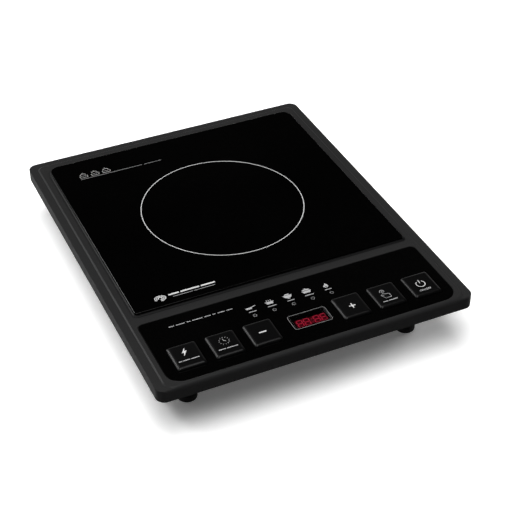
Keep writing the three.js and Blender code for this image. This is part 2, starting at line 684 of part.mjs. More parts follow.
// A hollow cap with a flange under the deck and a stem that presses the switch. Zero is the switch's top.
function buttonCap() {
  const flangeBottom = SWITCH_DROP;
  const flangeTop = flangeBottom + CAP_FLANGE_THICKNESS;
  const top = PANEL_TOP + CAP_RISE - SWITCH_TOP;
  const shoulder = top - CAP_CHAMFER;
  const body = shoulderedPrism(capOutline(0), flangeBottom, shoulder, top, CAP_CHAMFER);
  const flange = prism(capOutline(CAP_FLANGE), flangeBottom, flangeTop);
  const hollow = prism(capOutline(-CAP_WALL), flangeBottom - 1, top - CAP_CHAMFER - CAP_WALL / 2);
  const stem = cylinder(STEM_RADIUS, PLUNGER_RISE + FIT, shoulder);
  return body.add(flange).subtract(hollow).add(stem);
}

function switchPlunger() {
  return cylinder(PLUNGER_RADIUS, -PLUNGER_DEPTH, PLUNGER_RISE, 0, 0, PEG_STEPS);
}

function switchBody() {
  const boreBottom = -PLUNGER_DEPTH - CAP_TRAVEL - FIT;
  const body = box(SWITCH_SIDE, SWITCH_SIDE, -SWITCH_HEIGHT, 0);
  return body.subtract(cylinder(PLUNGER_RADIUS + FIT, boreBottom, 1, 0, 0, PEG_STEPS));
}

// The display block, with its two rows of pins drawn as strips. Zero is its top.
function displayModule() {
  const block = prism(windowOutline(-WINDOW_LEDGE - FIT), -DISPLAY_HEIGHT, 0);
  const pinBottom = SWITCH_BOTTOM - (PANEL_BOTTOM - DISPLAY_TO_WINDOW);
  const pinY = WINDOW_DEPTH / 2 - WINDOW_LEDGE - 2 * PIN_THICKNESS;
  const pins = [-1, 1].map((side) => (
    box(WINDOW_WIDTH * 0.7, PIN_THICKNESS, pinBottom, -DISPLAY_HEIGHT + 1, 0, side * pinY)
  ));
  return joined(block, pins);
}

// One clear moulding: a bar over the board's lamps with a post up to each hole in the panel.
// Zero is the level that the switches stand on.
function lightGuide() {
  const barTop = GUIDE_LIFT + GUIDE_THICKNESS;
  const middle = LAMP_FIRST_X + (LAMP_COUNT - 1) * LAMP_PITCH / 2;
  const length = (LAMP_COUNT - 1) * LAMP_PITCH + 4 * LAMP_RADIUS;
  const bar = box(length, GUIDE_DEPTH, GUIDE_LIFT, barTop, middle);
  const posts = Array.from({ length: LAMP_COUNT }, (unused, index) => (
    cylinder(LAMP_RADIUS, barTop - 1, PANEL_TOP - SWITCH_BOTTOM, lampX(index), 0, PEG_STEPS)
  ));
  const feet = [-1, 1].map((side) => (
    box(LAMP_RADIUS, GUIDE_DEPTH, 0, GUIDE_LIFT + 1, middle + side * (length - LAMP_RADIUS) / 2)
  ));
  return joined(bar, [...posts, ...feet]);
}

// A board with a hole for each peg that holds it. Zero is its underside.
function circuitBoard(width, depth, stakes) {
  const board = box(width, depth, 0, BOARD_THICKNESS);
  return cut(board, stakes.map(([x, y]) => (
    cylinder(STAKE_RADIUS + FIT, -1, BOARD_THICKNESS + 1, x, y, PEG_STEPS)
  )));
}

// A flat cable from under the control board down to the front of the main board.
function ribbonCable() {
  const top = CONTROL_BOARD_BOTTOM - FIT;
  const bottom = MAIN_BOARD_TOP + FIT;
  const frontY = CONTROL_BOARD_Y + CONTROL_BOARD_DEPTH / 2 - RIBBON_END_INSET;
  const backY = MAIN_BOARD_Y - MAIN_BOARD_DEPTH / 2 + RIBBON_END_INSET;
  const route = [
    [frontY, top],
    [frontY, top - 6],
    [(frontY + backY) / 2, (top + bottom) / 2],
    [backY, bottom + 6],
    [backY, bottom],
  ];
  const curve = new THREE.CatmullRomCurve3(route.map(([y, z]) => new THREE.Vector3(0, y, z)));
  const points = curve.getPoints(16);
  const frontSide = points.map((point) => [point.y - RIBBON_THICKNESS / 2, point.z]);
  const backSide = points.map((point) => [point.y + RIBBON_THICKNESS / 2, point.z]).reverse();
  return sidewaysPrism([...frontSide, ...backSide], -RIBBON_WIDTH / 2, RIBBON_WIDTH / 2);
}

// ---------------------------------------------------------------- lower housing

// The solid tray shape. The offset moves every wall and the bottom inwards.
function trayBlock(offset, top) {
  const halfWidth = TRAY_HALF_WIDTH - offset;
  const front = TRAY_FRONT + offset;
  const back = TRAY_BACK - offset;
  const bottom = TRAY_BOTTOM + offset;
  const plan = roundedRectangle(2 * halfWidth, back - front, TRAY_RADIUS - offset);
  const upright = prism(plan, bottom, top, 0, (front + back) / 2);
  const footing = halfWidth - TRAY_SIDE_SLOPE;
  const leaning = lengthwisePrism([
    [-footing + TRAY_CHAMFER, bottom],
    [footing - TRAY_CHAMFER, bottom],
    [footing, bottom + TRAY_CHAMFER],
    [halfWidth, TRAY_TOP],
    [halfWidth, top + 1],
    [-halfWidth, top + 1],
    [-halfWidth, TRAY_TOP],
    [-footing, bottom + TRAY_CHAMFER],
  ], front - 1, back + 1);
  const sloping = sidewaysPrism([
    [front, top + 1],
    [front, TRAY_TOP],
    [front + TRAY_FRONT_SLOPE, bottom + TRAY_CHAMFER],
    [front + TRAY_FRONT_SLOPE + TRAY_CHAMFER, bottom],
    [back - TRAY_CHAMFER, bottom],
    [back, bottom + TRAY_CHAMFER],
    [back, top + 1],
  ], -halfWidth - 1, halfWidth + 1);
  return upright.intersect(leaning).intersect(sloping);
}

function floorSlot(width, depth, x, y) {
  return box(width, depth, TRAY_BOTTOM - 1, TRAY_FLOOR + 1, x, y);
}

// Slots under the fan fill the circle that its blades sweep, with a rib left across the middle.
function intakeSlots() {
  const perSide = Math.floor((FAN_BLADE_RADIUS - INTAKE_PITCH / 2) / INTAKE_PITCH);
  return rowOf(2 * perSide + 1, INTAKE_PITCH, (across) => {
    const reach = Math.sqrt(FAN_BLADE_RADIUS ** 2 - across ** 2);
    const length = reach - INTAKE_RIB / 2;
    const middle = (reach + INTAKE_RIB / 2) / 2;
    return [-1, 1].map((side) => floorSlot(SLOT_WIDTH, length, FAN_X + across, FAN_Y + side * middle));
  }).flat();
}

function louvres() {
  const top = LOUVRE_BASE + LOUVRE_HEIGHT;
  const reach = 3 * (TRAY_WALL + TRAY_SIDE_SLOPE);
  const back = rowOf(BACK_LOUVRES, LOUVRE_PITCH, (offset) => (
    box(SLOT_WIDTH, reach, LOUVRE_BASE, top, BACK_LOUVRE_X + offset, TRAY_BACK)
  ));
  const sideY = HALF_DEPTH - SIDE_LOUVRE_INSET;
  const right = rowOf(SIDE_LOUVRES, LOUVRE_PITCH, (offset) => (
    box(reach, SLOT_WIDTH, LOUVRE_BASE, top, TRAY_HALF_WIDTH, sideY + offset)
  ));
  return [...back, ...right];
}

function inletHole() {
  const radius = GLAND_RADIUS + FIT;
  const hole = new THREE.CylinderGeometry(radius, radius, 4 * TRAY_WALL, GLAND_STEPS);
  return solidFrom(hole.translate(INLET_X, TRAY_BACK, INLET_HEIGHT));
}

// A boss on the floor that the main board stands on, with the peg that is melted over above it.
function boardPeg([x, y]) {
  const boss = cylinder(STAKE_BOSS_RADIUS, TRAY_FLOOR - 1, MAIN_BOARD_BOTTOM - FIT, x, y + MAIN_BOARD_Y);
  const pegTop = MAIN_BOARD_TOP + STAKE_STAND;
  return boss.add(cylinder(STAKE_RADIUS, TRAY_FLOOR, pegTop, x, y + MAIN_BOARD_Y, PEG_STEPS));
}

function lowerHousing() {
  const flange = prism(bodyOutline(SHELL_WALL + FIT), TRAY_TOP - TRAY_FLANGE_THICKNESS, TRAY_TOP);
  const shell = trayBlock(0, TRAY_TOP).add(flange).subtract(trayBlock(TRAY_WALL, TRAY_TOP + 1));
  const padBottom = FOOT_HEIGHT + FIT;
  const body = joined(shell, [
    ...FEET.map(([, x, y]) => cylinder(FOOT_RADIUS, padBottom, padBottom + FOOT_PAD_HEIGHT, x, y, ROUND_STEPS)),
    ...SCREWS.map(([, x, y]) => (
      cylinder(SCREW_WELL_RADIUS + SCREW_TUBE_WALL, TRAY_BOTTOM + TRAY_CHAMFER, SKIRT_BOTTOM, x, y)
    )),
    ...POSTS.map(([x, y]) => cylinder(POST_RADIUS, TRAY_FLOOR - 1, POST_TOP, x, y + ZONE_Y)),
    ...MAIN_STAKES.map(boardPeg),
    ...FAN_STAKES.map(([x, y]) => (
      cylinder(STAKE_RADIUS, TRAY_FLOOR - 1, FAN_BOTTOM + FAN_STAKE_LENGTH, x + FAN_X, y + FAN_Y, PEG_STEPS)
    )),
  ]);
  const shank = SCREW_SHANK_RADIUS + FIT;
  return cut(body, [
    ...SCREWS.map(([, x, y]) => cylinder(SCREW_WELL_RADIUS, TRAY_BOTTOM - 1, SCREW_SEAT, x, y)),
    ...SCREWS.map(([, x, y]) => cylinder(shank, TRAY_BOTTOM, SKIRT_BOTTOM + 1, x, y, PEG_STEPS)),
    ...FEET.map(([, x, y]) => (
      cylinder(FOOT_PEG_RADIUS + FIT, 0, FOOT_HEIGHT + FOOT_PEG_LENGTH + FIT, x, y, SMALL_STEPS)
    )),
    ...POSTS.map(([x, y]) => (
      cylinder(shank, POST_TOP - SCREW_SHANK_LENGTH, POST_TOP + 1, x, y + ZONE_Y, PEG_STEPS)
    )),
    ...intakeSlots(),
    ...rowOf(VENT_SLOTS, INTAKE_PITCH, (offset) => (
      floorSlot(SLOT_WIDTH, VENT_LENGTH, VENT_X + offset, MAIN_BOARD_Y + VENT_Y)
    )),
    ...louvres(),
    inletHole(),
  ]);
}

// ---------------------------------------------------------------- feet, screws and cord inlet

function foot() {
  const pegTop = FOOT_HEIGHT + FOOT_PEG_LENGTH;
  return turned([
    [0, 0],
    [FOOT_RADIUS - FOOT_EDGE, 0],
    [FOOT_RADIUS - FOOT_EDGE * 0.3, FOOT_EDGE * 0.3],
    [FOOT_RADIUS, FOOT_EDGE],
    [FOOT_RADIUS, FOOT_HEIGHT],
    [FOOT_PEG_RADIUS, FOOT_HEIGHT],
    [FOOT_PEG_RADIUS, pegTop],
    [0, pegTop],
  ]);
}

// A pan-head screw with its head down and its cross recess open downwards. Zero is under its head.
function screw() {
  const face = -SCREW_HEAD_HEIGHT;
  const body = turned([
    [0, face],
    [SCREW_HEAD_RADIUS * 0.75, face],
    [SCREW_HEAD_RADIUS, face * 0.6],
    [SCREW_HEAD_RADIUS, 0],
    [SCREW_SHANK_RADIUS, 0],
    [SCREW_SHANK_RADIUS, SCREW_SHANK_LENGTH - 1],
    [SCREW_SHANK_RADIUS * 0.3, SCREW_SHANK_LENGTH],
    [0, SCREW_SHANK_LENGTH],
  ], SMALL_STEPS);
  const reach = SCREW_HEAD_RADIUS * 1.2;
  return cut(body, [
    box(reach, SCREW_SLOT, face - 1, face / 2),
    box(SCREW_SLOT, reach, face - 1, face / 2),
  ]);
}

// A rubber grommet with a tapered nose, turned about its own axis. Zero is the middle of the wall.
function cordGland() {
  const face = TRAY_WALL / 2 + FIT;
  const brim = face + GLAND_FLANGE_THICKNESS;
  const tip = brim + GLAND_NOSE_LENGTH;
  return turned([
    [GLAND_BORE_RADIUS, -brim],
    [GLAND_FLANGE_RADIUS - GLAND_EDGE, -brim],
    [GLAND_FLANGE_RADIUS, -brim + GLAND_EDGE],
    [GLAND_FLANGE_RADIUS, -face],
    [GLAND_RADIUS, -face],
    [GLAND_RADIUS, face],
    [GLAND_FLANGE_RADIUS, face],
    [GLAND_FLANGE_RADIUS, brim - GLAND_EDGE],
    [GLAND_RADIUS + GLAND_EDGE, brim],
    [GLAND_BORE_RADIUS + GLAND_NOSE_WALL, tip],
    [GLAND_BORE_RADIUS, tip],
    [GLAND_BORE_RADIUS, -brim],
  ], GLAND_STEPS);
}

// ---------------------------------------------------------------- main board

// The board carries its two coil terminals, which are soldered on.
function mainBoard() {
  const terminals = [[OUTER_TERMINAL_X, OUTER_TERMINAL.y], [INNER_TERMINAL.x, INNER_TERMINAL.y]];
  const terminalHeight = BOARD_THICKNESS + TERMINAL_HEIGHT;
  return joined(circuitBoard(MAIN_BOARD_WIDTH, MAIN_BOARD_DEPTH, MAIN_STAKES), terminals.map(([x, y]) => (
    box(TERMINAL_SIDE, TERMINAL_SIDE, BOARD_THICKNESS / 2, terminalHeight, x, y)
  )));
}

// An extruded section: an upright plate with fins behind it, along the air stream.
function heatsink() {
  const { width, depth, below, plate, fins, fin } = HEATSINK;
  const height = HEADROOM - below;
  const section = (fromY, toY, low, high) => (
    sidewaysPrism([[fromY, low], [toY, low], [toY, high], [fromY, high]], -width / 2, width / 2)
  );
  const pitch = (height - fin) / (fins - 1);
  const blades = Array.from({ length: fins }, (unused, index) => (
    section(plate / 2, depth, index * pitch, index * pitch + fin)
  ));
  return joined(section(0, plate, 0, height), blades);
}

// A flat power device that stands on its legs.
function powerDevice({ width, below, thickness, legs }) {
  const body = box(width, thickness, LEG.length, HEADROOM - below);
  const pitch = width / (legs + 0.5);
  return joined(body, rowOf(legs, pitch, (offset) => box(LEG.width, LEG.thickness, 0, LEG.length + 1, offset)));
}

function casing({ width, depth, below }) {
  const shape = roundedRectangle(width, depth, CASING_RADIUS);
  const top = HEADROOM - below;
  return shoulderedPrism(shape, 0, top - CASING_CHAMFER, top, CASING_CHAMFER);
}

// A core with its winding bulging out between the two limbs.
function standbyTransformer() {
  const { width, depth, below, core, bobbin, lip } = TRANSFORMER;
  const top = HEADROOM - below;
  return box(width, core, 0, top).add(box(bobbin, depth, 0, top - lip));
}

function filterChoke() {
  return solidFrom(new THREE.TorusGeometry(CHOKE.ring, CHOKE.tube, 8, 20));
}

// A cartridge fuse with its two end caps.
function fuse() {
  const { length, radius, cap, step } = FUSE;
  return turned([
    [0, -length / 2],
    [radius, -length / 2],
    [radius, -length / 2 + cap],
    [radius - step, -length / 2 + cap],
    [radius - step, length / 2 - cap],
    [radius, length / 2 - cap],
    [radius, length / 2],
    [0, length / 2],
  ], SMALL_STEPS);
}

// ---------------------------------------------------------------- coil unit, about the middle of the zone

function ferriteAngle(index) {
  return 45 + index * 360 / FERRITE_COUNT;
}

function innerLeadHole() {
  return onCircle(COIL_INNER_RADIUS - FIT - LEAD_RADIUS, INNER_LEAD_ANGLE);
}

// The ribs below the former that a ferrite lies between.
function ferriteRibs(index) {
  const sideways = FERRITE_WIDTH / 2 + FIT + FERRITE_RIB / 2;
  const end = FERRITE_START + FERRITE_LENGTH;
  const angle = ferriteAngle(index);
  return [-1, 1].map((side) => (
    radialBar(FERRITE_START, end, FERRITE_RIB, -FERRITE_HEIGHT, FORMER_BASE, angle, side * sideways)
  ));
}

// A disc with a rim and a hub that locate the winding, ribs that hold the ferrites, and three ears.
// Zero is the underside of the disc.
function coilFormer() {
  const rimTop = COIL_TOP - FORMER_BOTTOM;
  const disc = cylinder(FORMER_RADIUS, 0, FORMER_BASE, 0, 0, WIDE_STEPS);
  const former = joined(disc, [
    ring(FORMER_RADIUS - FORMER_WALL, FORMER_RADIUS, FORMER_BASE / 2, rimTop, WIDE_STEPS),
    cylinder(HUB_RADIUS, 0, rimTop, 0, 0, ROUND_STEPS),
    ...Array.from({ length: FERRITE_COUNT }, (unused, index) => ferriteRibs(index)).flat(),
    ...POSTS.map(([x, y]) => {
      const angle = THREE.MathUtils.radToDeg(Math.atan2(y, x));
      return radialBar(FORMER_RADIUS / 2, Math.hypot(x, y) + EAR_WIDTH / 2, EAR_WIDTH, 0, FORMER_BASE, angle);
    }),
  ]);
  const notchFrom = FORMER_RADIUS - 2 * FORMER_WALL;
  const notchTo = FORMER_RADIUS + FORMER_WALL;
  return cut(former, [
    cylinder(HUB_RADIUS - HUB_WALL, -1, rimTop + 1, 0, 0, ROUND_STEPS),
    cylinder(LEAD_RADIUS + SLIP, -1, FORMER_BASE + 1, ...innerLeadHole(), PEG_STEPS),
    radialBar(notchFrom, notchTo, 3 * LEAD_RADIUS, FORMER_BASE, rimTop + 1, OUTER_LEAD_ANGLE),
    ...POSTS.map(([x, y]) => cylinder(SCREW_SHANK_RADIUS + FIT, -1, FORMER_BASE + 1, x, y, PEG_STEPS)),
  ]);
}

function inductionCoil() {
  return ring(COIL_INNER_RADIUS, COIL_OUTER_RADIUS, 0, COIL_THICKNESS, WIDE_STEPS);
}

function ferriteBar() {
  return box(FERRITE_LENGTH, FERRITE_WIDTH, 0, FERRITE_HEIGHT, FERRITE_START + FERRITE_LENGTH / 2);
}

// The sensor stands in a soft holder inside the hub and touches the glass from below.
function temperatureSensor() {
  const radius = HUB_RADIUS - HUB_WALL - FIT;
  const shoulder = COIL_BOTTOM + COIL_THICKNESS * 0.75 - FORMER_BOTTOM;
  const top = GLASS_BOTTOM - FIT - FORMER_BOTTOM;
  return turned([[0, 0], [radius, 0], [radius, shoulder], [radius * SENSOR_TAPER, top], [0, top]], SMALL_STEPS);
}

function terminalTop(x, y) {
  return [x, MAIN_BOARD_Y + y, MAIN_BOARD_TOP + TERMINAL_HEIGHT + FIT];
}

// From the outer turn, out through the notch in the rim and down to its terminal.
function outerLead() {
  const level = (COIL_TOP + COIL_BOTTOM) / 2;
  const [x, y, z] = terminalTop(OUTER_TERMINAL_X, OUTER_TERMINAL.y);
  return leadAlong([
    [...onCircle(COIL_OUTER_RADIUS + FIT, OUTER_LEAD_ANGLE, 0, ZONE_Y), level],
    [...onCircle(FORMER_RADIUS + 4, OUTER_LEAD_ANGLE, 0, ZONE_Y), level - 1],
    [...onCircle(FORMER_RADIUS + 6, OUTER_LEAD_ANGLE, 0, ZONE_Y), level - 7.5],
    [x - 3, y - 5, z + 13],
    [x, y, z + 4],
    [x, y, z],
  ], 22);
}

// From the inner turn, down through the hole in the former to its terminal.
function innerLead() {
  const [startX, startY] = innerLeadHole();
  const [x, y, z] = terminalTop(INNER_TERMINAL.x, INNER_TERMINAL.y);
  return leadAlong([
    [startX, startY + ZONE_Y, COIL_TOP - 1],
    [startX, startY + ZONE_Y, FORMER_BOTTOM],
    [startX, startY + ZONE_Y, FORMER_BOTTOM - 7],
    [(startX + x) / 2 + 1, (startY + ZONE_Y + y) / 2, (FORMER_BOTTOM + z) / 2],
    [x, y, z + 5],
    [x, y, z],
  ], 20);
}

// ---------------------------------------------------------------- fan, about its shaft

// A square frame with a round duct, and struts below that carry the bearing of the rotor.
function fanHousing() {
  const frame = prism(roundedRectangle(FAN_SIZE, FAN_SIZE, FAN_CORNER_RADIUS), 0, FAN_HEIGHT);
  const duct = cylinder(FAN_BORE_RADIUS, -1, FAN_HEIGHT + 1, 0, 0, WIDE_STEPS);
  const struts = Array.from({ length: FAN_STRUTS }, (unused, index) => (
    radialBar(0, FAN_BORE_RADIUS + 1, FAN_STRUT_WIDTH, 0, FAN_STRUT_THICKNESS, 45 + index * 360 / FAN_STRUTS)
  ));
  const bearingTop = FAN_STRUT_THICKNESS + FAN_BEARING_RISE;
  const open = joined(frame.subtract(duct), [
    ...struts,
    cylinder(FAN_HUB_RADIUS, 0, FAN_STRUT_THICKNESS, 0, 0, ROUND_STEPS),
    cylinder(FAN_BEARING_RADIUS, 0, bearingTop),
  ]);
  return cut(open, [
    cylinder(FAN_SHAFT_RADIUS + FIT, FAN_STRUT_THICKNESS / 2, bearingTop + 1),
    ...FAN_STAKES.map(([x, y]) => cylinder(STAKE_RADIUS + FIT, -1, FAN_HEIGHT + 1, x, y, PEG_STEPS)),
  ]);
}

// A cup-shaped hub with a shaft in the bearing, and blades set at a pitch. Zero is the rim of the cup.
function fanRotor() {
  const middle = FAN_HUB_HEIGHT / 2;
  const length = FAN_BLADE_RADIUS + 2;
  const sweep = cylinder(FAN_BLADE_RADIUS, -FAN_HUB_HEIGHT, 2 * FAN_HUB_HEIGHT, 0, 0, WIDE_STEPS);
  const core = cylinder(FAN_HUB_RADIUS - FAN_HUB_WALL / 2, -FAN_HUB_HEIGHT, 2 * FAN_HUB_HEIGHT, 0, 0, ROUND_STEPS);
  const flat = new THREE.BoxGeometry(length, FAN_BLADE_CHORD, FAN_BLADE_THICKNESS);
  flat.translate(length / 2, 0, 0).rotateX(THREE.MathUtils.degToRad(FAN_BLADE_PITCH)).translate(0, 0, middle);
  const blade = solidFrom(flat).intersect(sweep).subtract(core);
  const shaftBottom = FAN_STRUT_THICKNESS / 2 + FIT - FAN_STRUT_THICKNESS - FAN_HUB_LIFT;
  const hub = cylinder(FAN_HUB_RADIUS, 0, FAN_HUB_HEIGHT, 0, 0, ROUND_STEPS);
  const cup = cylinder(FAN_HUB_RADIUS - FAN_HUB_WALL, -1, FAN_HUB_HEIGHT - FAN_HUB_WALL, 0, 0, ROUND_STEPS);
  return joined(hub.subtract(cup), [
    cylinder(FAN_SHAFT_RADIUS, shaftBottom, FAN_HUB_HEIGHT - FAN_HUB_WALL / 2),
    ...Array.from({ length: FAN_BLADES }, (unused, index) => blade.rotate([0, 0, index * 360 / FAN_BLADES])),
  ]);
}

// ---------------------------------------------------------------- assembly

const cooktop = new THREE.Group();

addPiece(cooktop, 'upper_housing', upperHousing(), PLASTIC);
addPiece(cooktop, 'lower_housing', lowerHousing(), PLASTIC);

const surface = unit(0, GLASS_Y, GLASS_BOTTOM);
addPiece(surface, 'glass_plate', glassPlate(), GLOSS_BLACK);
addPiece(surface, 'glass_bead', glassBead(), SILICONE);

const controls = unit(0, ROW_Y, 0);
addPiece(controls, 'control_panel', controlPanel(), GLOSS_BLACK, 0, 0, PANEL_BOTTOM);
addPiece(
  controls, 'display_window', prism(windowOutline(0), 0, PANEL_THICKNESS), SMOKED,
  WINDOW_X, WINDOW_Y, PANEL_BOTTOM,
);
addPiece(controls, 'display_module', displayModule(), EPOXY, WINDOW_X, WINDOW_Y, PANEL_BOTTOM - DISPLAY_TO_WINDOW);
addPiece(controls, 'light_guide', lightGuide(), CLEAR, 0, LAMP_Y, SWITCH_BOTTOM);
CAPS.forEach(([name, x]) => {
  const button = new THREE.Group();
  button.position.set(x, 0, SWITCH_TOP);
  controls.add(button);
  addPiece(button, `button_${name}`, buttonCap(), CAP_PLASTIC);
  addPiece(button, `plunger_${name}`, switchPlunger(), CAP_PLASTIC);
  addPiece(button, `switch_${name}`, switchBody(), EPOXY);
});
addPiece(
  cooktop, 'control_board', circuitBoard(CONTROL_BOARD_WIDTH, CONTROL_BOARD_DEPTH, CONTROL_STAKES), BOARD,
  0, CONTROL_BOARD_Y, CONTROL_BOARD_BOTTOM,
);
addPiece(cooktop, 'ribbon_cable', ribbonCable(), RIBBON, RIBBON_X);

FEET.forEach(([name, x, y]) => addPiece(cooktop, `foot_${name}`, foot(), RUBBER, x, y));
SCREWS.forEach(([name, x, y]) => addPiece(cooktop, `housing_screw_${name}`, screw(), STEEL, x, y, SCREW_SEAT - FIT));

const gland = addPiece(cooktop, 'cord_gland', cordGland(), RUBBER, INLET_X, TRAY_BACK - TRAY_WALL / 2, INLET_HEIGHT);
gland.rotation.x = -Math.PI / 2;

const power = unit(0, MAIN_BOARD_Y, MAIN_BOARD_BOTTOM);
const onBoard = BOARD_THICKNESS + FIT;
const deviceY = (device) => HEATSINK.y - FIT - device.thickness / 2;
addPiece(power, 'main_board', mainBoard(), BOARD);
addPiece(power, 'heatsink', heatsink(), ALUMINIUM, HEATSINK_X, HEATSINK.y, onBoard);
addPiece(power, 'igbt', powerDevice(IGBT), EPOXY, HEATSINK_X + IGBT.shift, deviceY(IGBT), onBoard);
addPiece(
  power, 'bridge_rectifier', powerDevice(RECTIFIER), EPOXY,
  HEATSINK_X + RECTIFIER.shift, deviceY(RECTIFIER), onBoard,
);
[['resonant_capacitor', RESONANT], ['filter_capacitor', FILTER]].forEach(([name, part]) => {
  addPiece(power, name, casing(part), CASING, MAIN_HALF_WIDTH - part.inset, part.y, onBoard);
});
addPiece(power, 'standby_transformer', standbyTransformer(), CASING, TRANSFORMER.x, TRANSFORMER.y, onBoard);
addPiece(
  power, 'filter_choke', filterChoke(), COPPER,
  MAIN_HALF_WIDTH - CHOKE.inset, CHOKE.y, onBoard + CHOKE.tube,
);
const fuseMesh = addPiece(power, 'fuse', fuse(), STEEL, FUSE.x, FUSE.y, onBoard + FUSE.radius);
fuseMesh.rotation.y = Math.PI / 2;

const coil = unit(0, ZONE_Y, FORMER_BOTTOM);
addPiece(coil, 'coil_former', coilFormer(), CREAM);
addPiece(coil, 'induction_coil', inductionCoil(), COPPER, 0, 0, COIL_BOTTOM - FORMER_BOTTOM);
for (let index = 0; index < FERRITE_COUNT; index += 1) {
  const bar = addPiece(coil, `ferrite_bar_${index + 1}`, ferriteBar(), FERRITE, 0, 0, -FIT - FERRITE_HEIGHT);
  bar.rotation.z = THREE.MathUtils.degToRad(ferriteAngle(index));
}
POSTS.forEach(([x, y], index) => {
  const fixing = addPiece(coil, `former_screw_${index + 1}`, screw(), STEEL, x, y, FORMER_BASE + FIT);
  fixing.rotation.x = Math.PI;
});
addPiece(coil, 'temperature_sensor', temperatureSensor(), SILICONE);
addPiece(cooktop, 'coil_lead_outer', outerLead(), SLEEVE);
addPiece(cooktop, 'coil_lead_inner', innerLead(), SLEEVE);

const fan = unit(FAN_X, FAN_Y, FAN_BOTTOM);
addPiece(fan, 'fan_housing', fanHousing(), EPOXY);
addPiece(fan, 'fan_rotor', fanRotor(), EPOXY, 0, 0, FAN_STRUT_THICKNESS + FAN_HUB_LIFT);

export default cooktop;
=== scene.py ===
# %% [markdown]
# # Dressing a portable induction cooktop
# The object is a flat moulded box, 280 mm wide and 345 mm deep. It holds a black glass plate over a coil,
# and a glossy panel with six push caps, a display and five lamps. The frame brings every part in at its
# real size and place, in metres. This lesson gives the parts their rounded edges, their printed marks
# and their finishes, and leaves every part where the frame has put it.
# Every shape is written in millimetres and turned into metres by one factor, because a maker's drawing
# is read in millimetres. Only the finishes, the floor and the lamps are in metres.

# %% Load the frame
import json
import math

import bmesh
import bpy
from mathutils import Matrix, Vector


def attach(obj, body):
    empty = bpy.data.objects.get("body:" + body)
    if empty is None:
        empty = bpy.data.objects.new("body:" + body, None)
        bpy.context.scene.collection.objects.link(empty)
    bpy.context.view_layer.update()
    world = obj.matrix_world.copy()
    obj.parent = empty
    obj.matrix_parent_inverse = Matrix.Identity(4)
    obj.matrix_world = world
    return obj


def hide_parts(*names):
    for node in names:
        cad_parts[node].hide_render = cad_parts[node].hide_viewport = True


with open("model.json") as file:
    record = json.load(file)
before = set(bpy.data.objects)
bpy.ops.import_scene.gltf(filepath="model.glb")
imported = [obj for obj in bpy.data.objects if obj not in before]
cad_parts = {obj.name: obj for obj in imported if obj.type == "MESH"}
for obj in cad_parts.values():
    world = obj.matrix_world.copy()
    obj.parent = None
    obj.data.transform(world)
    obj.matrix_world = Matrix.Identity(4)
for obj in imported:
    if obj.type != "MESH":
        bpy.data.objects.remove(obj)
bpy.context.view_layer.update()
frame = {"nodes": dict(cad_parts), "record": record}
nodes = frame["nodes"]
MM = 0.001


def placed(name, data):
    """A new object in the scene, at the origin."""
    made = bpy.data.objects.new(name, data)
    bpy.context.scene.collection.objects.link(made)
    return made


# %% [markdown]
# ## The camera
# A camera is a position, three directions and a lens. The three directions are worked out beforehand as
# right, up and back, and they become the columns of the camera's matrix, so no aiming constraint is
# needed. A lens of 92.6 mm is a mild telephoto, which keeps the far edge of the box nearly as wide as
# the near one.

# %% Place the camera
right = Vector((0.91057, -0.41325, -0.009))
up = Vector((0.25691, 0.54875, 0.79554))
back = Vector((-0.32382, -0.7267, 0.60584))
camera_data = bpy.data.cameras.new("camera")
camera_data.lens = 92.56
camera_data.sensor_width = 36.0
camera_data.clip_start = 0.05
camera_data.clip_end = 100.0
camera = placed("camera", camera_data)
turn = Matrix((right, up, back)).transposed().to_4x4()
camera.matrix_world = Matrix.Translation(Vector((-367.37, -865.74, 737.77)) * MM) @ turn
bpy.context.scene.camera = camera
bpy.context.scene.view_settings.view_transform = "Standard"
print("camera stands", round(camera.location.length, 3), "m from the middle of the floor under the cooktop")

# %% [markdown]
# ## Shared effects
# Real moulded plastic is never one flat colour. It has a fine grain from the etched mould, its colour
# drifts a little, its edges are polished by handling, and dust settles on what faces up. Each effect
# is a node group, made once and used by many finishes with other values. A group only gives out
# numbers and masks. The shader that uses them stays in each finish, where it can be read and changed.

# %% Helpers for shader nodes
def new_group(name, inputs, outputs):
    """An empty shader group with number inputs (name: value) and the named outputs."""
    group = bpy.data.node_groups.new(name, "ShaderNodeTree")
    for label, value in inputs.items():
        socket = group.interface.new_socket(name=label, in_out="INPUT", socket_type="NodeSocketFloat")
        socket.default_value = value
    for label in outputs:
        group.interface.new_socket(name=label, in_out="OUTPUT", socket_type="NodeSocketFloat")
    return group, group.nodes.new("NodeGroupInput"), group.nodes.new("NodeGroupOutput")


def add(tree, kind, values=None, **settings):
    """A node with its settings, and its inputs set by name or number."""
    node = tree.nodes.new("ShaderNode" + kind)
    for key, value in settings.items():
        setattr(node, key, value)
    for key, value in (values or {}).items():
        node.inputs[key].default_value = value
    return node


def join(tree, start, end):
    tree.links.new(start, end)


def feed(tree, value, end):
    """Joins a socket to an input, or sets the input to a plain value."""
    if isinstance(value, bpy.types.NodeSocket):
        join(tree, value, end)
    else:
        end.default_value = value


def result(tree, kind, values, output=0, **settings):
    """An output of a new node, whose inputs get sockets or plain values in their order."""
    node = add(tree, kind, **settings)
    for value, end in zip(values, node.inputs):
        feed(tree, value, end)
    return node.outputs[output]


def math_node(tree, operation, *values, **settings):
    return result(tree, "Math", values, operation=operation, **settings)


def vector_node(tree, operation, *values):
    """A number worked out from directions or places."""
    return result(tree, "VectorMath", values, "Value", operation=operation)


def noise(tree, place, scale, detail, roughness):
    """A noise texture between 0 and 1. Its scale may be a socket or a number per metre."""
    node = add(tree, "TexNoise", {"Detail": detail, "Roughness": roughness})
    join(tree, place, node.inputs["Vector"])
    feed(tree, scale, node.inputs["Scale"])
    return node.outputs["Fac"]


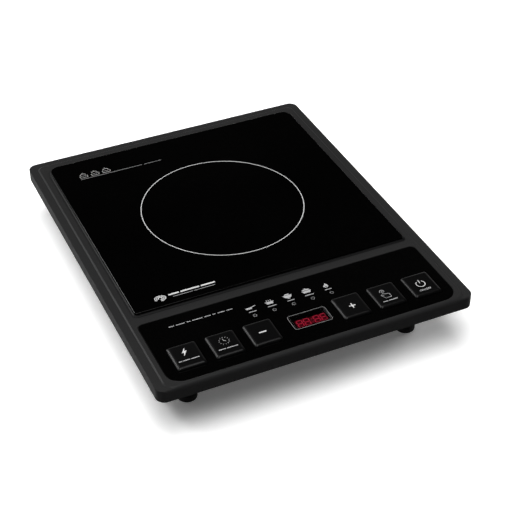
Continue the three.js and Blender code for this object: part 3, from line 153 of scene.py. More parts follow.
# %% [markdown]
# The grain of an etched mould is a fine noise on the surface. One group gives both its height, for a
# bump, and a slow drift in tone, for the colour. The two could be one texture, but the drift has to be
# a hundred times larger than the grain, or the plastic looks dirty.

# %% Group: mould grain
FINENESS = 2500.0  # pits per metre
grain, grain_in, grain_out = new_group("mould_grain", {"Fineness": FINENESS, "Drift": 12.0},
                                       ["Height", "Tone"])
place = add(grain, "TexCoord").outputs["Object"]
pits = noise(grain, place, grain_in.outputs["Fineness"], 3.0, 0.65)
drift = noise(grain, place, grain_in.outputs["Drift"], 2.0, 0.5)
join(grain, pits, grain_out.inputs["Height"])
join(grain, drift, grain_out.inputs["Tone"])
print("mould grain group has", len(grain.nodes), "nodes")

# %% [markdown]
# Edges catch the light because hands polish them. A Bevel node gives the normal that the surface would
# have if its edges were rounder. Where that differs from the true normal there is an edge. A noise
# breaks the line up, so it doesn't look drawn.

# %% Group: worn edges
WORN_WIDTH = 0.0006  # metres
EDGE_GAIN = 3.0  # brings the small difference of the two normals up to a mask
wear, wear_in, wear_out = new_group("worn_edges", {"Width": WORN_WIDTH, "Amount": 1.0}, ["Edge"])
rounder = add(wear, "Bevel", samples=6)
join(wear, wear_in.outputs["Width"], rounder.inputs["Radius"])
true_normal = add(wear, "NewGeometry").outputs["Normal"]
facing = vector_node(wear, "DOT_PRODUCT", rounder.outputs["Normal"], true_normal)
edge = math_node(wear, "MULTIPLY", math_node(wear, "SUBTRACT", 1.0, facing), EDGE_GAIN)
patchy = noise(wear, add(wear, "TexCoord").outputs["Object"], 160.0, 3.0, 0.6)
broken = math_node(wear, "MULTIPLY", edge, patchy)
scaled = math_node(wear, "MULTIPLY", broken, wear_in.outputs["Amount"], use_clamp=True)
join(wear, scaled, wear_out.inputs["Edge"])
print("worn edge group has", len(wear.nodes), "nodes")

# %% [markdown]
# Dust lies on faces that look up, and finger marks lie on glossy ones. Both are only masks. Dust is a
# coarse noise times a fine one, kept where the normal points up. Smudges are two stretched noises, and
# they change the roughness alone.

# %% Groups: dust and smudges
dust, dust_in, dust_out = new_group("settled_dust", {"Amount": 0.1}, ["Dust"])
place = add(dust, "TexCoord").outputs["Object"]
upward = result(dust, "SeparateXYZ", [add(dust, "NewGeometry").outputs["Normal"]], "Z")
level = math_node(dust, "MAXIMUM", upward, 0.0)
patches = noise(dust, place, 9.0, 2.0, 0.5)
specks = math_node(dust, "POWER", noise(dust, place, 900.0, 4.0, 0.7), 3.0)
lying = math_node(dust, "MULTIPLY", math_node(dust, "MULTIPLY", level, patches), specks)
join(dust, math_node(dust, "MULTIPLY", lying, dust_in.outputs["Amount"]), dust_out.inputs["Dust"])

smudge, smudge_in, smudge_out = new_group("finger_smudges", {"Amount": 0.1}, ["Smudge"])
stretched = add(smudge, "Mapping", {"Scale": (1.0, 2.2, 1.0), "Rotation": (0.0, 0.0, 0.6)})
join(smudge, add(smudge, "TexCoord").outputs["Object"], stretched.inputs["Vector"])
prints = noise(smudge, stretched.outputs[0], 14.0, 4.0, 0.6)
streaks = noise(smudge, stretched.outputs[0], 70.0, 2.0, 0.5)
both = math_node(smudge, "MULTIPLY", prints, streaks)
join(smudge, math_node(smudge, "MULTIPLY", both, smudge_in.outputs["Amount"]), smudge_out.inputs["Smudge"])
print("dust and smudge groups are ready")

# %% [markdown]
# ## Finishes
# A finish starts from one Principled shader. Numbers that are the same all over a part, such as the
# specular level, are set on the shader itself. The groups feed only colour, roughness and the bump. One
# builder makes the plastics, rubbers, metals and glossy parts, because they differ in values, not in kind.

# %% A builder for finishes
ROUGHNESS_DRIFT = 0.1  # how much the roughness changes with the tone
RELIEF = 0.0002  # metres, how deep the pits of the grain may go
WORN_GAIN, WORN_LIFT = 2.2, 0.006  # a rubbed edge is this much lighter than the colour
DUST_COLOUR = (0.35, 0.34, 0.32, 1.0)


def use(tree, group, values):
    """Places a shared group in a finish with its own values."""
    node = tree.nodes.new("ShaderNodeGroup")
    node.node_tree = group
    for key, value in values.items():
        node.inputs[key].default_value = value
    return node


def blend(tree, mask, under, over):
    """Two colours mixed by a mask. Each may be a socket or a plain colour."""
    mixed = add(tree, "Mix", data_type="RGBA")
    join(tree, mask, mixed.inputs["Factor"])
    feed(tree, under, mixed.inputs[6])
    feed(tree, over, mixed.inputs[7])
    return mixed.outputs[2]


def shade(colour, gain, lift=0.0):
    """A plain colour, darker or lighter than another."""
    return [min(1.0, c * gain + lift) for c in colour] + [1.0]


def new_finish(name, constants):
    """A material, its nodes, and its Principled shader with the constant inputs set."""
    made = bpy.data.materials.new(name)
    made.use_nodes = True
    shader = made.node_tree.nodes["Principled BSDF"]
    for key, value in constants.items():
        shader.inputs[key].default_value = value
    return made, made.node_tree, shader


def finish(name, colour, rough, specular, metal=0.0, fineness=FINENESS, bump=0.05, tone=0.12,
           edge=0.0, dusty=0.0, smudged=0.0):
    """A procedural finish: grain and tone in every one, and worn edges, dust and smudges where asked."""
    made, tree, shader = new_finish(name, {"Metallic": metal, "Specular IOR Level": specular})
    skin = use(tree, grain, {"Fineness": fineness, "Drift": 14.0})
    paint = blend(tree, skin.outputs["Tone"], shade(colour, 1 - tone), shade(colour, 1 + tone))
    smoothest = rough - ROUGHNESS_DRIFT / 2
    gloss = math_node(tree, "MULTIPLY_ADD", skin.outputs["Tone"], ROUGHNESS_DRIFT, smoothest)
    if edge:
        worn = use(tree, wear, {"Width": WORN_WIDTH, "Amount": edge})
        paint = blend(tree, worn.outputs["Edge"], paint, shade(colour, WORN_GAIN, WORN_LIFT))
    if dusty:
        settled = use(tree, dust, {"Amount": dusty})
        paint = blend(tree, settled.outputs["Dust"], paint, DUST_COLOUR)
    if smudged:
        greasy = use(tree, smudge, {"Amount": smudged})
        gloss = math_node(tree, "ADD", gloss, greasy.outputs["Smudge"])
    join(tree, paint, shader.inputs["Base Color"])
    join(tree, gloss, shader.inputs["Roughness"])
    if bump:
        relief = add(tree, "Bump", {"Strength": bump, "Distance": RELIEF})
        join(tree, skin.outputs["Height"], relief.inputs["Height"])
        join(tree, relief.outputs["Normal"], shader.inputs["Normal"])
    return made


# %% [markdown]
# The values below are chosen from the real materials: charcoal ABS with a satin mould grain for the
# housing, ceramic glass that is nearly a black mirror, a gloss-sprayed panel, silk-matt caps, natural
# black rubber for the feet, and the ordinary metals and plastics of an appliance inside. The slope of
# the housing's step gets a painted highlight: a slightly lighter and glossier copy of the housing finish.

# %% Make the finishes
FINISHES = {
    "housing_plastic": finish("charcoal_abs", (0.0188, 0.0188, 0.0191), 0.5, 0.015, fineness=2600.0,
                              bump=0.16, tone=0.06, edge=0.5, dusty=0.12),
    "tray_plastic": finish("tray_abs", (0.016, 0.016, 0.0162), 0.6, 0.04, bump=0.2, tone=0.08, edge=0.4),
    "cooking_glass": finish("black_ceramic_glass", (0.0002, 0.0002, 0.00022), 0.06, 0.2, bump=0.0,
                            tone=0.1, smudged=0.05, dusty=0.02),
    "black_silicone": finish("bead_silicone", (0.003, 0.003, 0.0032), 0.5, 0.12, tone=0.1),
    "panel_gloss": finish("gloss_sprayed_panel", (0.0002, 0.0002, 0.00022), 0.09, 0.25, bump=0.0,
                          tone=0.1, smudged=0.06, dusty=0.03),
    "button_plastic": finish("silk_cap_plastic", (0.0015, 0.0015, 0.0016), 0.28, 0.17, tone=0.08, edge=0.5,
                             smudged=0.08, dusty=0.02),
    "black_moulding": finish("display_frame_nylon", (0.008, 0.008, 0.008), 0.45, 0.3, bump=0.1),
    "green_board": finish("board_laminate", (0.02, 0.11, 0.04), 0.35, 0.5, bump=0.08, tone=0.2, edge=0.6),
    "grey_ribbon": finish("ribbon_vinyl", (0.22, 0.22, 0.23), 0.5, 0.4, tone=0.15),
    "black_rubber": finish("foot_rubber", (0.013, 0.013, 0.013), 0.75, 0.15, fineness=1800.0, bump=0.3,
                           tone=0.15, edge=0.5, dusty=0.2),
    "bare_aluminium": finish("extruded_aluminium", (0.72, 0.73, 0.74), 0.36, 0.5, metal=1.0,
                             fineness=1500.0, bump=0.08, tone=0.08, edge=0.2),
    "zinc_steel": finish("zinc_plated_steel", (0.55, 0.55, 0.53), 0.34, 0.5, metal=1.0, edge=0.3),
    "yellow_casing": finish("casing_yellow", (0.72, 0.50, 0.05), 0.4, 0.4, bump=0.08, tone=0.1, edge=0.3),
    "copper_winding": finish("enamelled_copper", (0.50, 0.17, 0.055), 0.34, 0.5, metal=0.75,
                             fineness=900.0, bump=0.3, tone=0.2),
    "ferrite": finish("sintered_ferrite", (0.045, 0.044, 0.047), 0.6, 0.3, fineness=1400.0, bump=0.3,
                      tone=0.2, edge=0.6),
    "former_plastic": finish("former_nylon", (0.33, 0.31, 0.27), 0.5, 0.4, bump=0.1, tone=0.08, edge=0.3),
    "white_silicone": finish("sensor_silicone", (0.62, 0.62, 0.6), 0.6, 0.3, bump=0.1, tone=0.06),
    "woven_sleeve": finish("woven_glass_sleeve", (0.55, 0.5, 0.4), 0.8, 0.2, fineness=1100.0, bump=0.6,
                           tone=0.2),
    "fan_plastic": finish("fan_polyester", (0.014, 0.014, 0.015), 0.42, 0.4, bump=0.08, tone=0.1, edge=0.5),
}
# A painted highlight: a lighter and glossier copy of the housing finish, for the slope of the step.
STEP_HIGHLIGHT = finish("step_highlight_abs", (0.0195, 0.0195, 0.0198), 0.36, 0.06, fineness=2600.0,
                     bump=0.08, tone=0.06)


def ink(name, colour):
    return finish("screen_ink_" + name, colour, 0.5, 0.3, fineness=5000.0, bump=0.1, tone=0.05)


PRINT_WHITE = ink("white", (0.62, 0.62, 0.62))
PRINT_GREY = ink("grey", (0.34, 0.34, 0.345))
PRINT_LABEL = ink("label", (0.42, 0.42, 0.425))
print("finishes made:", len(bpy.data.materials))

# %% [markdown]
# ## Outlines and lofts
# Almost every visible part of the cooktop is a rounded rectangle that changes a little with height. A
# sub-division cage could do it, but the corners would then drift with every new edge. Here each level
# is an outline: one face from create_grid, whose four corners get a vertex bevel, which makes true
# arcs. The face is deleted, its edges stay, and bridge_loops joins one outline to the next.

# %% Helpers for outlines
LIFT = 300.0  # millimetres, more than any height in the model


def outline(bm, x, y_front, y_back, z, r_front, r_back=None, steps=16, middle=0.0):
    """A closed loop of edges, x to each side of the middle, with round corners. All in millimetres."""
    known = set(bm.edges)
    known_faces = set(bm.faces)
    corner = bmesh.ops.create_grid(bm, x_segments=1, y_segments=1, size=0.5)["verts"]
    for v in corner:
        v.co = (middle + (x if v.co.x > 0 else -x), y_back if v.co.y > 0 else y_front, z)
    y_middle = (y_front + y_back) / 2
    for radius, near in ((r_front, True), (r_front if r_back is None else r_back, False)):
        picked = [v for v in corner if v.is_valid and (v.co.y < y_middle) == near]
        bmesh.ops.bevel(bm, geom=picked, offset=radius, offset_type="OFFSET", affect="VERTICES",
                        segments=steps, profile=0.5, material=-1)
    bmesh.ops.delete(bm, geom=[f for f in bm.faces if f not in known_faces], context="FACES_ONLY")
    return [e for e in bm.edges if e not in known]


def circle(bm, x, y, z, radius, steps):
    """A closed round loop of edges."""
    known = set(bm.edges)
    bmesh.ops.create_circle(bm, cap_ends=False, segments=steps, radius=radius,
                            matrix=Matrix.Translation((x, y, z)))
    return [e for e in bm.edges if e not in known]


def bridge(bm, *loops):
    """Joins each loop to the next. Two loops in one plane can pair up twisted, so one is lifted meanwhile."""
    for one, other in zip(loops, loops[1:]):
        lifted = list({v for e in other for v in e.verts})
        bmesh.ops.translate(bm, vec=(0, 0, LIFT), verts=lifted)
        bmesh.ops.bridge_loops(bm, edges=one + other)
        bmesh.ops.translate(bm, vec=(0, 0, -LIFT), verts=lifted)


def cap(bm, loop, *holes):
    """Closes a flat loop, with holes where other loops lie in it."""
    if holes:
        bmesh.ops.triangle_fill(bm, use_beauty=True, edges=[e for each in (loop, *holes) for e in each])
    else:
        bmesh.ops.edgeloop_fill(bm, edges=loop)


def loft(bm, loops):
    """A solid from a stack of loops, closed at both ends."""
    bridge(bm, *loops)
    cap(bm, loops[0])
    cap(bm, loops[-1])


def piece(name, bm, slot, replaces, body="base", sharp=32.0):
    """Turns a finished bmesh in millimetres into an object in metres that rides on a body."""
    bmesh.ops.recalc_face_normals(bm, faces=bm.faces)
    for face in bm.faces:
        face.smooth = True
    for e in bm.edges:
        if len(e.link_faces) == 2 and e.calc_face_angle(0.0) > math.radians(sharp):
            e.smooth = False
    bmesh.ops.scale(bm, vec=(MM, MM, MM), verts=bm.verts)
    mesh = bpy.data.meshes.new(name)
    bm.to_mesh(mesh)
    open_edges = sum(1 for e in bm.edges if len(e.link_faces) != 2)
    bm.free()
    mesh.materials.append(FINISHES[slot])
    made = placed(name, mesh)
    even = made.modifiers.new("even_shading", "WEIGHTED_NORMAL")
    even.keep_sharp = True
    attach(made, body)
    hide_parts(*replaces)
    print(f"{name}: {len(mesh.polygons)} faces, {open_edges} open edges, on {body}")
    return made


# %% [markdown]
# ## The upper housing
# The housing is one moulding with a 2.5 mm wall: a vertical skirt, a flat rim, a small step up to the
# deck, and a roll along the front edge. The step runs parallel to the sides and back but melts into the
# roll at the front, so its outlines have their own inset there. The roll is cut last, by pushing down
# every point that lies above it, which keeps all outlines crossing it in one smooth line.

# %% Sizes of the housing
# Places are measured from the middle of the cooktop, and heights from the floor.
HALF_X, HALF_Y = 140.0, 172.5
SKIRT_Z, RIM_Z, DECK_Z, UNDERSIDE_Z = 42.0, 53.5, 54.5, 50.9
BODY_CORNER, ROLL_RADIUS, HEM = 8, 3.5, 0.35  # HEM rounds the foot of the skirt
WALL = 2.5
GLASS_X, GLASS_FRONT, GLASS_BACK = 124.3, -80.5, 154.5
GLASS_FRONT_CORNER, GLASS_BACK_CORNER = 2, 9
GLASS_LEDGE, GLASS_LEDGE_Z = 12, 53.2
PANEL_X, PANEL_FRONT, PANEL_BACK = 127.6, -167.8, -91.7
PANEL_FRONT_CORNER, PANEL_BACK_CORNER = 13, 4.5
PANEL_BED_Z = 52.4
ROW_Y = -142.8
CAPS = {"power_level": -104.7, "timer": -72.0, "minus": -39.3, "plus": 40.3, "function": 73.0,
        "on_off": 105.7}
CAP_X, CAP_Y, CAP_CORNER = 12.15, 14.0, 1.5
WINDOW_X, WINDOW_Y, WINDOW_HALF, WINDOW_CORNER = 3.4, -140.7, (15.5, 7.9), 1.5
LAMPS = [(-35.3 + 17.45 * index, -119.4) for index in range(5)]
LAMP_HOLE = 2.05


def roll_height(y):
    """Height of the front roll above a line that lies y from the middle."""
    depth = y + HALF_Y
    if depth >= ROLL_RADIUS:
        return DECK_Z
    return DECK_Z - ROLL_RADIUS + math.sqrt(max(0.0, ROLL_RADIUS ** 2 - (ROLL_RADIUS - depth) ** 2))


def body_loop(bm, side, front, z, r_front, r_back):
    return outline(bm, HALF_X - side, -HALF_Y + front, HALF_Y - side, z, r_front, r_back)


def glass_loop(bm, offset, z):
    return outline(bm, GLASS_X + offset, GLASS_FRONT - offset, GLASS_BACK + offset, z,
                   max(0.5, GLASS_FRONT_CORNER + offset), max(1.0, GLASS_BACK_CORNER + offset), steps=8)


def panel_loop(bm, offset, z):
    return outline(bm, PANEL_X + offset, PANEL_FRONT - offset, PANEL_BACK + offset, z,
                   PANEL_FRONT_CORNER + offset, PANEL_BACK_CORNER + offset, steps=6)


def cap_loop(bm, x, offset, z, corner=CAP_CORNER, steps=6):
    return outline(bm, CAP_X + offset, ROW_Y - CAP_Y - offset, ROW_Y + CAP_Y + offset, z,
                   corner + max(offset, 0.0), steps=steps, middle=x)


def window_loop(bm, offset, z):
    half_x, half_y = WINDOW_HALF
    return outline(bm, half_x + offset, WINDOW_Y - half_y - offset, WINDOW_Y + half_y + offset, z,
                   max(0.4, WINDOW_CORNER + offset), steps=4, middle=WINDOW_X)


def control_loops(bm, z, slip, window):
    """The six cap holes, the window hole and the five lamp holes at one height."""
    loops = [cap_loop(bm, x, slip, z, steps=4) for x in CAPS.values()]
    loops.append(window_loop(bm, window, z))
    loops += [circle(bm, x, y, z, LAMP_HOLE, 16) for x, y in LAMPS]
    return loops


# %% [markdown]
# The outside is a list of levels, from the foot of the skirt to the edge of the deck. Under the deck hang
# hollow bosses for the housing screws and pegs for the control board. Each is a few circles, bridged. The
# slope of the step gets its painted highlight, a lighter and glossier copy of the finish, by the height and
# tilt of its faces. On the right side it keeps the plain finish, because the highlight would draw a second
# bright line beside the glass.

# %% Model the upper housing
HOLE_SLIP, WINDOW_LEDGE = 0.35, -1.4
bm = bmesh.new()
# Each level: inset of the sides, inset of the front, height, front corners, back corners.
skin = [
    (0, 0, SKIRT_Z + HEM, BODY_CORNER, BODY_CORNER), (0, 0, 53.05, BODY_CORNER, BODY_CORNER),
    (0.1, 0.067, 53.33, 7.9, 7.9), (0.42, 0.266, RIM_Z, 7.6, 7.6), (3.0, 0.42, RIM_Z, 8, 7),
    (6.9, 0.59, RIM_Z, 9.5, 6.1), (7.2, 1.025, 53.62, 9.5, 6.0), (8.2, 1.555, 54.38, 9.5, 6.0),
    (8.5, 2.16, DECK_Z, 9.6, 5.8), (9.2, 2.82, DECK_Z, 9.7, 5.5), (10.0, 3.5, DECK_Z, 9.9, 5.2),
    (10.3, 3.9, DECK_Z, 10, 5.0),
]
outer = [body_loop(bm, *level) for level in skin]
bridge(bm, *outer)
glass_edge = ((1.5, DECK_Z), (1.27, 54.4), (1.2, 54.15), (1.2, GLASS_LEDGE_Z))
panel_edge = ((0.65, DECK_Z), (0.42, 54.4), (0.35, 54.15), (0.35, PANEL_BED_Z))
glass_lip = [glass_loop(bm, o, z) for o, z in glass_edge]
glass_ledge = [glass_loop(bm, -GLASS_LEDGE, z) for z in (GLASS_LEDGE_Z, UNDERSIDE_Z)]
panel_lip = [panel_loop(bm, o, z) for o, z in panel_edge]
bridge(bm, *glass_lip, *glass_ledge)
bridge(bm, *panel_lip)
cap(bm, outer[-1], glass_lip[0], panel_lip[0])
bed_holes = control_loops(bm, PANEL_BED_Z, HOLE_SLIP, WINDOW_LEDGE)
under_holes = control_loops(bm, UNDERSIDE_Z, HOLE_SLIP, WINDOW_LEDGE)
cap(bm, panel_lip[-1], *bed_holes)
for upper, lower in zip(bed_holes, under_holes):
    bridge(bm, upper, lower)
inner_corner = BODY_CORNER - WALL
cavity = [body_loop(bm, WALL, WALL, z, inner_corner, inner_corner) for z in (UNDERSIDE_Z, SKIRT_Z)]
cap(bm, cavity[0], glass_ledge[-1], *under_holes)
hem = body_loop(bm, HEM, HEM, SKIRT_Z, BODY_CORNER - HEM, BODY_CORNER - HEM)
bridge(bm, *cavity, hem, outer[0])
for v in bm.verts:
    if v.co.z > UNDERSIDE_Z + 0.05:
        v.co.z = min(v.co.z, roll_height(v.co.y))
bmesh.ops.recalc_face_normals(bm, faces=bm.faces)
screw_boss = ((51.2, 4.0), (42.3, 4.0), (42.3, 1.9), (50.0, 1.9))
board_peg = ((51.2, 2.4), (41.6, 2.4), (41.6, 1.3), (39.7, 1.3), (39.6, 1.9), (39.1, 1.75), (38.75, 1.0))
screw_places = ((-121, -118), (121, -118), (-118, 150), (118, 150))
peg_places = ((-18.9, -153), (22.8, -153), (-104, -113), (104, -113))
for levels, places in ((screw_boss, screw_places), (board_peg, peg_places)):
    for x, y in places:
        loft(bm, [circle(bm, x, y, z, r, 20) for z, r in levels])
# The sloping faces between rim and deck, except those that face right, get the painted highlight finish.
for face in bm.faces:
    middle = face.calc_center_median()
    on_step = RIM_Z < middle.z < DECK_Z and 0.2 < face.normal.z < 0.97
    face.material_index = int(on_step and face.normal.x < 0.3)
housing = piece("housing_shell", bm, "housing_plastic", ["upper_housing"])
housing.data.materials.append(STEP_HIGHLIGHT)

# %% [markdown]
# ## Glass plate and its bead
# The ceramic glass is 4 mm thick and lies in its recess on a bead of black silicone. Its upper edge is
# ground to a small radius. Three extra outlines make that radius, where a bevel modifier would need an
# angle limit. The bead is pulled to a hollow fillet by a wet finger, from the deck up the glass edge.

# %% Model the glass and the bead
GLASS_TOP = 57.46
bm = bmesh.new()
levels = [(-0.3, 53.5), (0, 53.8), (0, 57.0), (-0.05, 57.22), (-0.19, 57.38), (-0.42, GLASS_TOP)]
loft(bm, [glass_loop(bm, o, z) for o, z in levels])
piece("glass_top", bm, "cooking_glass", ["glass_plate"])

bm = bmesh.new()
profile = [(0.3, 53.6), (0.95, 53.6), (1.05, 54.52), (2.3, 54.52), (2.28, 54.62), (1.6, 54.72),
           (1.05, 54.92), (0.65, 55.25), (0.42, 55.6), (0.3, 55.62)]
loops = [glass_loop(bm, o, z) for o, z in profile]
bridge(bm, *loops, loops[0])
piece("silicone_bead", bm, "black_silicone", ["glass_bead"], sharp=50)

# %% [markdown]
# ## Control panel
# The panel is a 1.5 mm plate with gloss spray on it, flush in a recess of the deck. It has a hole for
# each cap, one for the window and one for each lamp. Its edges and the edges of its holes carry a small
# radius, because spray never holds on a sharp edge, and that radius draws the fine highlight round it.

# %% Model the control panel
PANEL_BOTTOM, PANEL_TOP = 52.7, 54.17
GAP, OPENED_GAP = 0.3, 0.5  # round a cap, below and at the rounded edge of its hole
bm = bmesh.new()
edge_levels = [(0, PANEL_BOTTOM), (0, 53.75), (-0.12, 54.05), (-0.42, PANEL_TOP)]
sides = [panel_loop(bm, o, z) for o, z in edge_levels]
bridge(bm, *sides)
low = control_loops(bm, PANEL_BOTTOM, GAP, GAP)
halfway = control_loops(bm, 53.95, GAP, GAP)
high = control_loops(bm, PANEL_TOP, OPENED_GAP, OPENED_GAP)
for loops in zip(low, halfway, high):
    bridge(bm, *loops)
cap(bm, sides[0], *low)
cap(bm, sides[-1], *high)
piece("gloss_panel", bm, "panel_gloss", ["control_panel"])

# %% [markdown]
# ## The six caps
# Each cap is a hollow moulding with a flange that stops it under the deck and a stem that pushes its
# switch. A finger feels a slight hollow on top and a soft edge round it. The cap is one loft from the
# flange up over the edge into that hollow, and back down inside.

# %% Model the caps
CAP_TOP = 56.54
FLANGE_BOTTOM, FLANGE_TOP = 49.4, 50.6
CAP_WALL, CAP_CEILING = 1.6, 54.8
RIM_WIDTH, RIM_FALL, RIM_FOOT = 2.9, 1.9, 54.7
RIM_STEPS = 8
for name, x in CAPS.items():
    bm = bmesh.new()
    levels = [(1.3, FLANGE_BOTTOM), (1.5, 49.6), (1.5, 50.4), (1.3, FLANGE_TOP), (0.1, FLANGE_TOP),
              (0.0, 50.75)]
    for step in range(RIM_STEPS + 1):
        lean = math.radians(90 * step / RIM_STEPS)
        levels.append((-RIM_WIDTH * (1 - math.cos(lean)), RIM_FOOT + RIM_FALL * math.sin(lean)))
    levels += [(-3.3, 56.58), (-3.8, CAP_TOP)]
    loops = [cap_loop(bm, x, o, z) for o, z in levels]
    hollow = [cap_loop(bm, x, -CAP_WALL, z, corner=0.8) for z in (CAP_CEILING, FLANGE_BOTTOM)]
    bridge(bm, *loops)
    cap(bm, loops[-1])
    bridge(bm, *hollow, loops[0])
    cap(bm, hollow[0])
    loft(bm, [circle(bm, x, ROW_Y, z, r, 20) for z, r in ((55.1, 2.6), (46.6, 2.6), (46.3, 2.3))])
    piece("cap_" + name, bm, "button_plastic", ["button_" + name], body=name + "_button", sharp=40)

# %% [markdown]
# ## Display window and what glows behind it
# The window is smoked acrylic, flush with the panel. Under it, on the display module, four seven-segment
# digits and a colon glow red through a red film. A real light inside would only add noise, so the
# segments have an emission of their own, and the acrylic in front dims and tints them.

# %% Model the window
smoked, tree, shader = new_finish("smoked_acrylic", {
    "Base Color": (0.30, 0.27, 0.28, 1.0), "Transmission Weight": 1.0, "IOR": 1.49})
haze = use(tree, smudge, {"Amount": 0.05})
join(tree, math_node(tree, "ADD", haze.outputs["Smudge"], 0.02), shader.inputs["Roughness"])
FINISHES["smoked_window"] = smoked

bm = bmesh.new()
window_levels = [(-0.2, PANEL_BOTTOM), (0, 52.9), (0, 53.95), (-0.12, 54.1), (-0.32, PANEL_TOP)]
loft(bm, [window_loop(bm, o, z) for o, z in window_levels])
piece("acrylic_window", bm, "smoked_window", ["display_window"])

# %% [markdown]
# ## Printed marks
# Screen ink stands a few hundredths of a millimetre above its surface. Most marks are strokes: a poly
# curve with a round section, turned into a mesh and pressed flat, so that a line has soft sides and the
# lamp's light runs over it as over real ink. The few solid ones are filled outlines. A texture could
# draw the same marks, but thin lines on a 250 mm plate need a very large one.

# %% Helpers for strokes
INK = 0.03  # half the height of a mark
INK_LIFT = 0.004  # from a surface to the middle of its ink


def add_line(curve, points, closed):
    spline = curve.splines.new("POLY")
    spline.points.add(len(points) - 1)
    spline.use_cyclic_u = closed
    for point, (x, y) in zip(spline.points, points):
        point.co = (x, y, 0.0, 1.0)


def from_curve(name, curve, z, flatten, material, body):
    """Makes a curve a mesh, in metres and at height z, and lets it ride on a body."""
    holder = placed(name + "_curve", curve)
    bpy.context.view_layer.update()
    mesh = bpy.data.meshes.new_from_object(holder.evaluated_get(bpy.context.evaluated_depsgraph_get()))
    bpy.data.objects.remove(holder)
    mesh.transform(Matrix.Translation((0, 0, z * MM)) @ Matrix.Diagonal((MM, MM, MM * flatten, 1.0)))
    mesh.materials.clear()
    mesh.materials.append(material)
    mesh.name = name
    if flatten != 1.0:
        mesh.polygons.foreach_set("use_smooth", [True] * len(mesh.polygons))
    made = placed(name, mesh)
    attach(made, body)
    print(f"{name}: {len(mesh.polygons)} faces")
    return made


def strokes(name, lines, width, z, material, body="base", thickness=INK, depth=2):
    """Flat strokes at height z from lists of points (x, y), or (points, True) for a closed line."""
    curve = bpy.data.curves.new(name, "CURVE")
    curve.dimensions = "3D"
    curve.bevel_depth = width / 2
    curve.bevel_resolution = depth
    curve.use_fill_caps = True
    for line in lines:
        points, closed = line if isinstance(line, tuple) else (line, False)
        add_line(curve, points, closed)
    return from_curve(name, curve, z, 2 * thickness / width, material, body)


def filled(name, shapes, z, material, body="base"):
    """Flat filled shapes at height z, each a closed list of points. A shape inside another is a hole."""
    curve = bpy.data.curves.new(name, "CURVE")
    curve.dimensions = "2D"
    curve.fill_mode = "BOTH"
    curve.extrude = INK
    for points in shapes:
        add_line(curve, points, True)
    return from_curve(name, curve, z, 1.0, material, body)


def arc(x, y, radius, start=0.0, end=360.0, steps=28, squash=1.0):
    """Points on an arc, in degrees. A full turn leaves out the last point, so that it can be closed."""
    full = abs(end - start) >= 360.0
    count = steps if full else steps + 1
    angles = [math.radians(start + (end - start) * i / steps) for i in range(count)]
    return [(x + radius * math.cos(a), y + radius * squash * math.sin(a)) for a in angles]


def round_box(x, y, half_x, half_y, radius):
    """Points of a rounded rectangle, to be closed."""
    points = []
    for sx, sy, start in ((1, 1, 0), (-1, 1, 90), (-1, -1, 180), (1, -1, 270)):
        points += arc(x + sx * (half_x - radius), y + sy * (half_y - radius), radius, start, start + 90, 4)
    return points


def moved(x, y, *points):
    """The points of a small drawing, with its middle at x, y."""
    return [(x + px, y + py) for px, py in points]


def dashes(y, *spans):
    """Level lines at height y on the drawing, each from one x to another."""
    return [[(start, y), (end, y)] for start, end in spans]


# %% [markdown]
# The display's digits are strokes too. Each digit has seven, and each stroke is named by its two ends on
# a small grid, leaning a little to the right as on a real display.

# %% Model the digits
GLOW_DRIFT = 0.75  # the dimmest part of a lit film, as a share of the brightest
DIGIT_WIDTH, DIGIT_TALL, DIGIT_LEAN = 4.5, 8.0, 0.04
SEGMENT_WIDTH, FILM_TALL = 0.74, 9.0
DIGIT_GAP = 0.14  # between two strokes, as a share of half the width or half the height


def glow(name, colour, strength):
    """A finish for a lit part: a little drift in its light, as a film over lamps has."""
    made, tree, shader = new_finish(name, {
        "Base Color": (0.02, 0.004, 0.006, 1.0), "Roughness": 0.5, "Emission Strength": strength})
    skin = use(tree, grain, {"Fineness": 900.0, "Drift": 160.0})
    light = blend(tree, skin.outputs["Tone"], shade(colour, GLOW_DRIFT), shade(colour, 1.0))
    join(tree, light, shader.inputs["Emission Color"])
    return made


def digit(x, y):
    """The seven strokes of one figure eight, centred on x, y."""
    def spot(px, py):
        return (x + px * DIGIT_WIDTH / 2 + DIGIT_LEAN * py * DIGIT_TALL / 2, y + py * DIGIT_TALL / 2)
    near, far = DIGIT_GAP, 1 - DIGIT_GAP
    ends = [((-far, level), (far, level)) for level in (1, 0, -1)]
    ends += [((side, low), (side, high)) for low, high in ((near, far), (-far, -near)) for side in (-1, 1)]
    return [[spot(*a), spot(*b)] for a, b in ends]


red_film = glow("red_film", (0.15, 0.002, 0.009), 1.0)
red_segment = glow("lit_segment", (1.0, 0.045, 0.11), 1.6)
DIGIT_Z = 51.76
centre_x, centre_y = 4.7, -142.7
lit = [stroke for shift in (-10.6, -4.4, 4.4, 10.6) for stroke in digit(centre_x + shift, centre_y)]
for rise, lean in ((1.8, 0.2), (-1.8, -0.2)):
    dot_x = centre_x + lean
    lit += dashes(centre_y + rise, (dot_x - 0.15, dot_x + 0.35))
strokes("display_digits", lit, SEGMENT_WIDTH, DIGIT_Z + 0.05, red_segment)
strokes("display_film", dashes(centre_y, (-9.4, 16.6)), FILM_TALL, DIGIT_Z - 0.02, red_film,
        thickness=0.02)

# %% [markdown]
# The marks on the caps, the panel and the glass say only what a symbol can: a bolt for power, a dial
# for the timer, plus and minus, a hand for the manual setting, a standby sign. Where a word would
# stand there is a short plain bar. The switch for on and off keeps its two words.

# %% Marks on the caps
CAP_INK = CAP_TOP + 0.005


def cap_mark(name, cap_name, lines, width, material=PRINT_LABEL):
    return strokes(name, lines, width, CAP_INK, material, body=cap_name + "_button")


